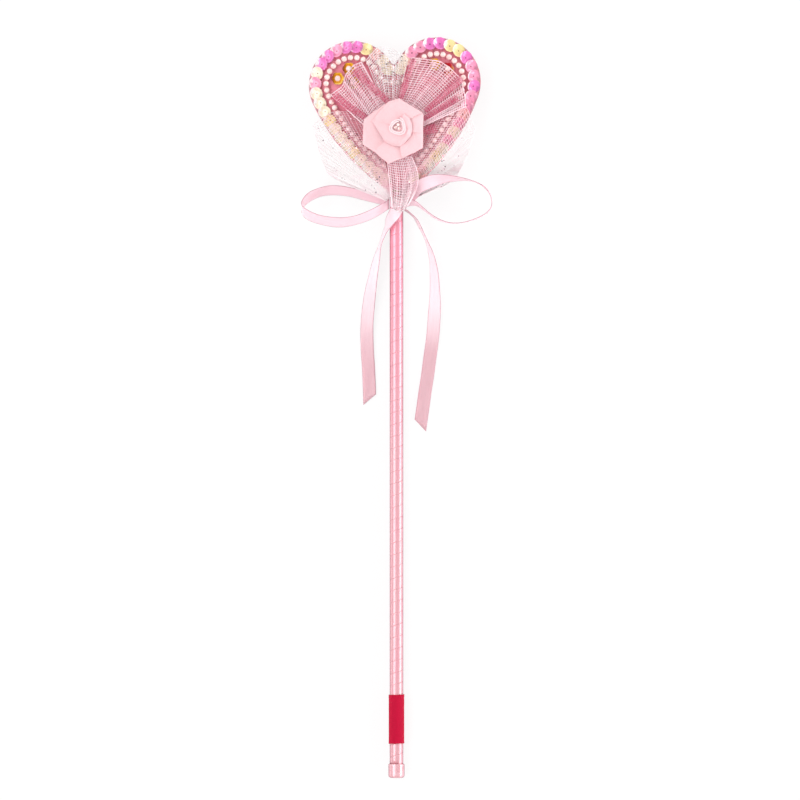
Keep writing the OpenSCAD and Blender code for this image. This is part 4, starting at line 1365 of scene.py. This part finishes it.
class WAND_OT_tulle(Builder, bpy.types.Operator):
    """Gather the white tulle and the pink net"""
    bl_idname = "wand.tulle"
    bl_label = "Tulle"

    def build(self):
        veil = net_finish("veil_tulle", self.colours.veil, linear(252, 236, 240), linear(255, 214, 223))
        net = net_finish("net_tulle", self.colours.net, linear(252, 200, 212), self.colours.net)
        glitter = film_finish("glitter_film", 0.12, 0.7)
        # The folds' threads are doubled net, and their dark colour is painted shade
        fold_net = net_finish("net_fold_tulle", self.colours.fold, linear(246, 160, 182), self.colours.fold)
        pearls = islands("pearl_row_left") + islands("pearl_row_right")
        for order, (name, cloth) in enumerate(TULLE.items()):
            white = cloth["slot"] == "veil_tulle"
            place, length = self.drape(cloth, order, pearls if white else [])
            girth = path_length([place(step / 60, 0.6) for step in range(61)])
            columns = max(8, round(girth / self.sizes.net_cell))
            rows = max(8, round(length / self.sizes.net_cell))
            bm = cloth_grid(columns, rows, place)
            wires(bm, self.sizes.veil_thread if white else self.sizes.net_thread)
            obj = make_object(name + "_net", bm, veil if white else net, cloth["slot"], [name])
            joined_on = []
            if white:
                joined_on.append(self.glitter(name, place, glitter, order))
            if name in FOLDS:
                joined_on.append(self.folds(name, fold_net))
            flat = (GATHERS[0] * girth, GATHERS[1] * length)
            whole = flat[0] * flat[1]
            area = min(max(surface_area(obj) / 2, LEAST_COVER * whole), whole)
            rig.sheet(obj, flat, "gathered", area=area, with_pieces=joined_on)

    def drape(self, cloth, order, pearls):
        """Placing function of a gathered piece that lies on the pearls, and the length of its cut."""
        chance = random.Random(40 + order)
        phases = [chance.uniform(0, math.tau) for _ in range(2)]
        root = [Vector((*point, 0)) * MM for point in cloth["root"]]
        edge = [Vector((*point, 0)) * MM for point in cloth["edge"]]
        middle = len(root) // 2
        length = (edge[middle] - root[middle]).length
        belly = cloth.get("belly", 0) * MM
        route = [Vector(point[:3]) * MM for point in cloth.get("under", [])]
        band = [on_line(route, step / 80) for step in range(81)] if route else []

        def place(share, along):
            turn = share * cloth["folds"] * math.tau
            wave = math.sin(turn + phases[0]) + 0.45 * math.sin(turn * 1.7 + phases[1] + along * 2)
            lift = (0.35 + 0.65 * along) * TULLE_WAVE * MM * wave
            climb = min(1.0, along / 0.35)
            height = cloth["rise"] + (cloth["top"] - cloth["rise"]) * climb - cloth["droop"] * along ** 2
            side = (on_line(edge, share + 0.02) - on_line(edge, share - 0.02)).normalized()
            spot = on_line(root, share).lerp(on_line(edge, share), along)
            spot += side * TULLE_SLIP * MM * along * math.cos(turn + phases[0])
            spot.x += belly * share * math.sin(math.pi * along)
            held = [top + PEARL_SLACK * MM - PEARL_SLOPE * (spot.xy - centre.xy).length
                    for centre, _, top in pearls]
            top = max([height * MM + lift] + held)
            if band:
                near = min(band, key=lambda point: (point.xy - spot.xy).length)
                press = min(1.0, max(0.0, 1.8 - (near.xy - spot.xy).length / (RIBBON_REACH * MM)))
                top += (near.z - RIBBON_SLACK * MM - top) * press
            return Vector((spot.x, spot.y, top))

        return place, length

    def folds(self, name, finish):
        """Doubled edges of the net, which lie as denser ridges along it."""
        parts = []
        for start, end, wide, height in FOLDS[name]:
            low = Vector((*start, height)) * MM
            high = Vector((*end, height - 0.6)) * MM
            across = (high - low).cross(Vector((0, 0, 1))).normalized() * wide * MM

            def place(share, along):
                ridge = 0.7 * MM * math.sin(math.pi * share) + 0.2 * MM * math.sin(share * 19)
                flare = 0.75 + 0.4 * along
                return low.lerp(high, along) + across * (share - 0.5) * flare + Vector((0, 0, ridge))

            rows = max(4, round((high - low).length / (FOLD_CELL * MM)))
            parts.append(cloth_grid(5, rows, place))
        whole = joined(parts)
        wires(whole, FOLD_THREAD * MM)
        return make_object(name + "_folds", whole, finish, "net_tulle")

    def glitter(self, name, place, film, order):
        chance = random.Random(70 + order)
        bm = bmesh.new()
        tint = bm.verts.layers.float_color.new("tint")
        tones = [linear(255, 255, 255), linear(250, 225, 235), linear(250, 210, 225), linear(90, 70, 84)]
        for _ in range(FLAKES):
            share = chance.uniform(0.03, 0.97)
            along = chance.uniform(0.12, 0.98)
            spot = place(share, along) + Vector((0, 0, FLAKE_LIFT * MM))
            made = disc(bm, 6, chance.uniform(*FLAKE_RADII) * MM)
            tilt = Matrix.Rotation(chance.uniform(-0.5, 0.5), 4, "X") @ Matrix.Rotation(
                chance.uniform(-0.5, 0.5), 4, "Y")
            tone = chance.choice(tones)
            for vert in made:
                vert[tint] = (*tone, 1.0)
                vert.co = spot + tilt @ vert.co
        obj = make_object(name + "_glitter", bm, film, "veil_tulle", smooth=False)
        thicken(obj, FLAKE_FILM * MM)
        return obj


class WAND_OT_rose(Builder, bpy.types.Operator):
    """Fold the satin rose: felt pad, petals, wrap and bud"""
    bl_idname = "wand.rose"
    bl_label = "Rose"

    def build(self):
        satin = satin_finish("rose_satin", self.colours.rose, "UV", (30, 420, 30), rough=0.4)
        self.base = self.base_point()
        for name, (inner, outer) in PETALS.items():
            self.petal(name, inner, outer, satin)
        # Painted light: the bud's satin is a paler copy of the rose satin that offsets the shade inside the bud
        lit_bud_satin = satin_finish("rose_bud_satin", linear(254, 222, 226), "UV", (30, 420, 30), rough=0.4)
        self.bud(lit_bud_satin)
        self.felt()

    def base_point(self):
        low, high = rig.box("rose_petal_left")
        outer = PETALS["rose_petal_left"][1]
        x = low[0] - min(point[0] for point in outer) * self.sizes.rose_radius
        y = high[1] - max(point[1] for point in outer) * self.sizes.rose_radius
        z = low[2] + 0.375 * MM
        return Vector((x, y, z))

    def spot(self, share):
        radius = self.sizes.rose_radius
        return self.base + Vector((share[0] * radius, share[1] * radius, share[2] * self.sizes.rose_height))

    def rim(self, direction, height):
        """Point just outside the bud, as shares of the rose."""
        angle = math.radians(direction)
        turned = math.radians((direction - BUD_START) % 360)
        grow = 0.81 + 0.19 * turned / math.tau
        reach = BUD_RADIUS * MM * grow * (0.92 + 0.08 * math.cos(3 * turned)) + 0.2 * MM
        reach /= self.sizes.rose_radius
        return (BUD_CENTRE[0] + reach * math.cos(angle), BUD_CENTRE[1] + reach * math.sin(angle), height)

    def petal(self, name, inner, outer, satin):
        if len(inner[0]) == 2:
            inner = [self.rim(*point) for point in inner]
        root = [self.spot(point) for point in inner]
        edge = [self.spot(point) for point in outer]
        width = path_length(edge)
        length = max(LEAST_SIDE * MM, max((end - start).length for start, end in zip(root, edge)))

        def place(share, along):
            spot = on_line(root, share).lerp(on_line(edge, share), along)
            puff = 0.1 * self.sizes.rose_height * math.sin(math.pi * along)
            roll = 0.5 * MM * max(0.0, (along - 0.82) / 0.18) ** 2
            crease = 0.14 * MM * math.sin(share * 9 + along * 7) * math.sin(math.pi * along)
            return spot + Vector((0, 0, puff - roll + crease))

        bm = cloth_grid(10 * (len(outer) - 1), 14, place)
        obj = make_object(name + "_fold", bm, satin, "rose_satin", [name])
        thicken(obj, self.sizes.petal_thickness, 1, 0.2 * MM)
        self.declare(obj, width, length)

    def declare(self, obj, width, length):
        """Declare a fold as a folded sheet, with the area that it really has."""
        area = min(max(surface_area(obj), LEAST_COVER * width * length), width * length)
        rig.sheet(obj, (width, length), "folded", area=area)

    def bud(self, satin):
        low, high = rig.box("rose_bud")
        centre = self.spot((*BUD_CENTRE, 0))
        turns = 2
        start = math.radians(BUD_START)
        inside = 4.2 * MM

        def place(share, along):
            angle = share * turns * math.tau
            grow = 0.62 + 0.38 * share
            corner = 0.92 + 0.08 * math.cos(3 * angle)
            flare = 1 + 0.05 * along ** 2
            reach = BUD_RADIUS * MM * grow * corner * flare - 0.25 * MM
            height = low[2] + 0.3 * MM + (high[2] - low[2] - 0.5 * MM) * along
            wave = 0.2 * MM * math.sin(3 * angle + 1) * along
            return Vector((
                centre.x + reach * math.cos(angle + start), centre.y + reach * math.sin(angle + start),
                height + wave))

        bm = cloth_grid(96, 6, place)
        for vert in disc(bm, 32, inside):
            vert.co += Vector((centre.x, centre.y, low[2] + 0.25 * MM))
        face_out(bm)
        obj = make_object("rose_bud_roll", bm, satin, "rose_satin", ["rose_bud"])
        thicken(obj, 0.8 * MM, 0, 0.2 * MM)
        self.declare(obj, turns * math.tau * inside, LEAST_SIDE * MM)

    def felt(self):
        low, high, centre = box_middle("rose_felt")
        radius = (high[0] - low[0]) / 2
        bm = bmesh.new()
        for vert in disc(bm, 64, radius * 0.97):
            vert.co *= 1 + 0.02 * noise.noise(vert.co * 900)
            vert.co += centre
        obj = make_object(
            "rose_felt_pad", bm, plain_finish("felt", linear(244, 214, 218), 0.9, 1400.0, 0.0002), "felt",
            ["rose_felt"])
        thicken(obj, high[2] - low[2])
        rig.sheet(obj, (2 * radius, 2 * radius), "laid", area=math.pi * radius ** 2)


class WAND_PT_panel(bpy.types.Panel):
    """Controls of the toy magic wand"""
    bl_idname = "WAND_PT_panel"
    bl_label = "Toy magic wand"
    bl_space_type = "VIEW_3D"
    bl_region_type = "UI"
    bl_category = "Wand"

    def draw(self, context):
        layout = self.layout
        for group in (context.scene.wand_sizes, context.scene.wand_colours, context.scene.wand_stage):
            for name in group.__annotations__:
                layout.prop(group, name)
        for operator in OPERATORS:
            layout.operator(operator.bl_idname)


OPERATORS = (
    WAND_OT_stage, WAND_OT_bow, WAND_OT_rod, WAND_OT_label, WAND_OT_heart, WAND_OT_sequins,
    WAND_OT_pearls, WAND_OT_flowers, WAND_OT_tulle, WAND_OT_rose,
)
CLASSES = (WandSizes, WandColours, WandStage) + OPERATORS + (WAND_PT_panel,)


def register():
    for cls in CLASSES:
        bpy.utils.register_class(cls)
    bpy.types.Scene.wand_sizes = bpy.props.PointerProperty(type=WandSizes)
    bpy.types.Scene.wand_colours = bpy.props.PointerProperty(type=WandColours)
    bpy.types.Scene.wand_stage = bpy.props.PointerProperty(type=WandStage)


def unregister():
    del bpy.types.Scene.wand_sizes
    del bpy.types.Scene.wand_colours
    del bpy.types.Scene.wand_stage
    for cls in reversed(CLASSES):
        bpy.utils.unregister_class(cls)


def visual_bounds():
    graph = bpy.context.evaluated_depsgraph_get()
    corners = []
    for obj in bpy.context.scene.objects:
        if obj.type == "MESH" and not obj.hide_render and not obj.name.startswith("stage_"):
            made = obj.evaluated_get(graph)
            corners += [made.matrix_world @ Vector(corner) for corner in made.bound_box]
    low = [min(corner[axis] for corner in corners) for axis in range(3)]
    high = [max(corner[axis] for corner in corners) for axis in range(3)]
    return low, high


def main():
    register()
    bpy.ops.wand.stage()
    bpy.ops.wand.bow()
    bpy.ops.wand.rod()
    bpy.ops.wand.label()
    bpy.ops.wand.heart()
    bpy.ops.wand.sequins()
    bpy.ops.wand.pearls()
    bpy.ops.wand.flowers()
    bpy.ops.wand.tulle()
    bpy.ops.wand.rose()
    bpy.context.view_layer.update()
    low, high = visual_bounds()
    with open("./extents.json", "w") as file:
        json.dump({"cad": [list(corner) for corner in CAD_BOUNDS], "visual": [low, high]}, file, indent=1)


if __name__ == "__main__":
    main()
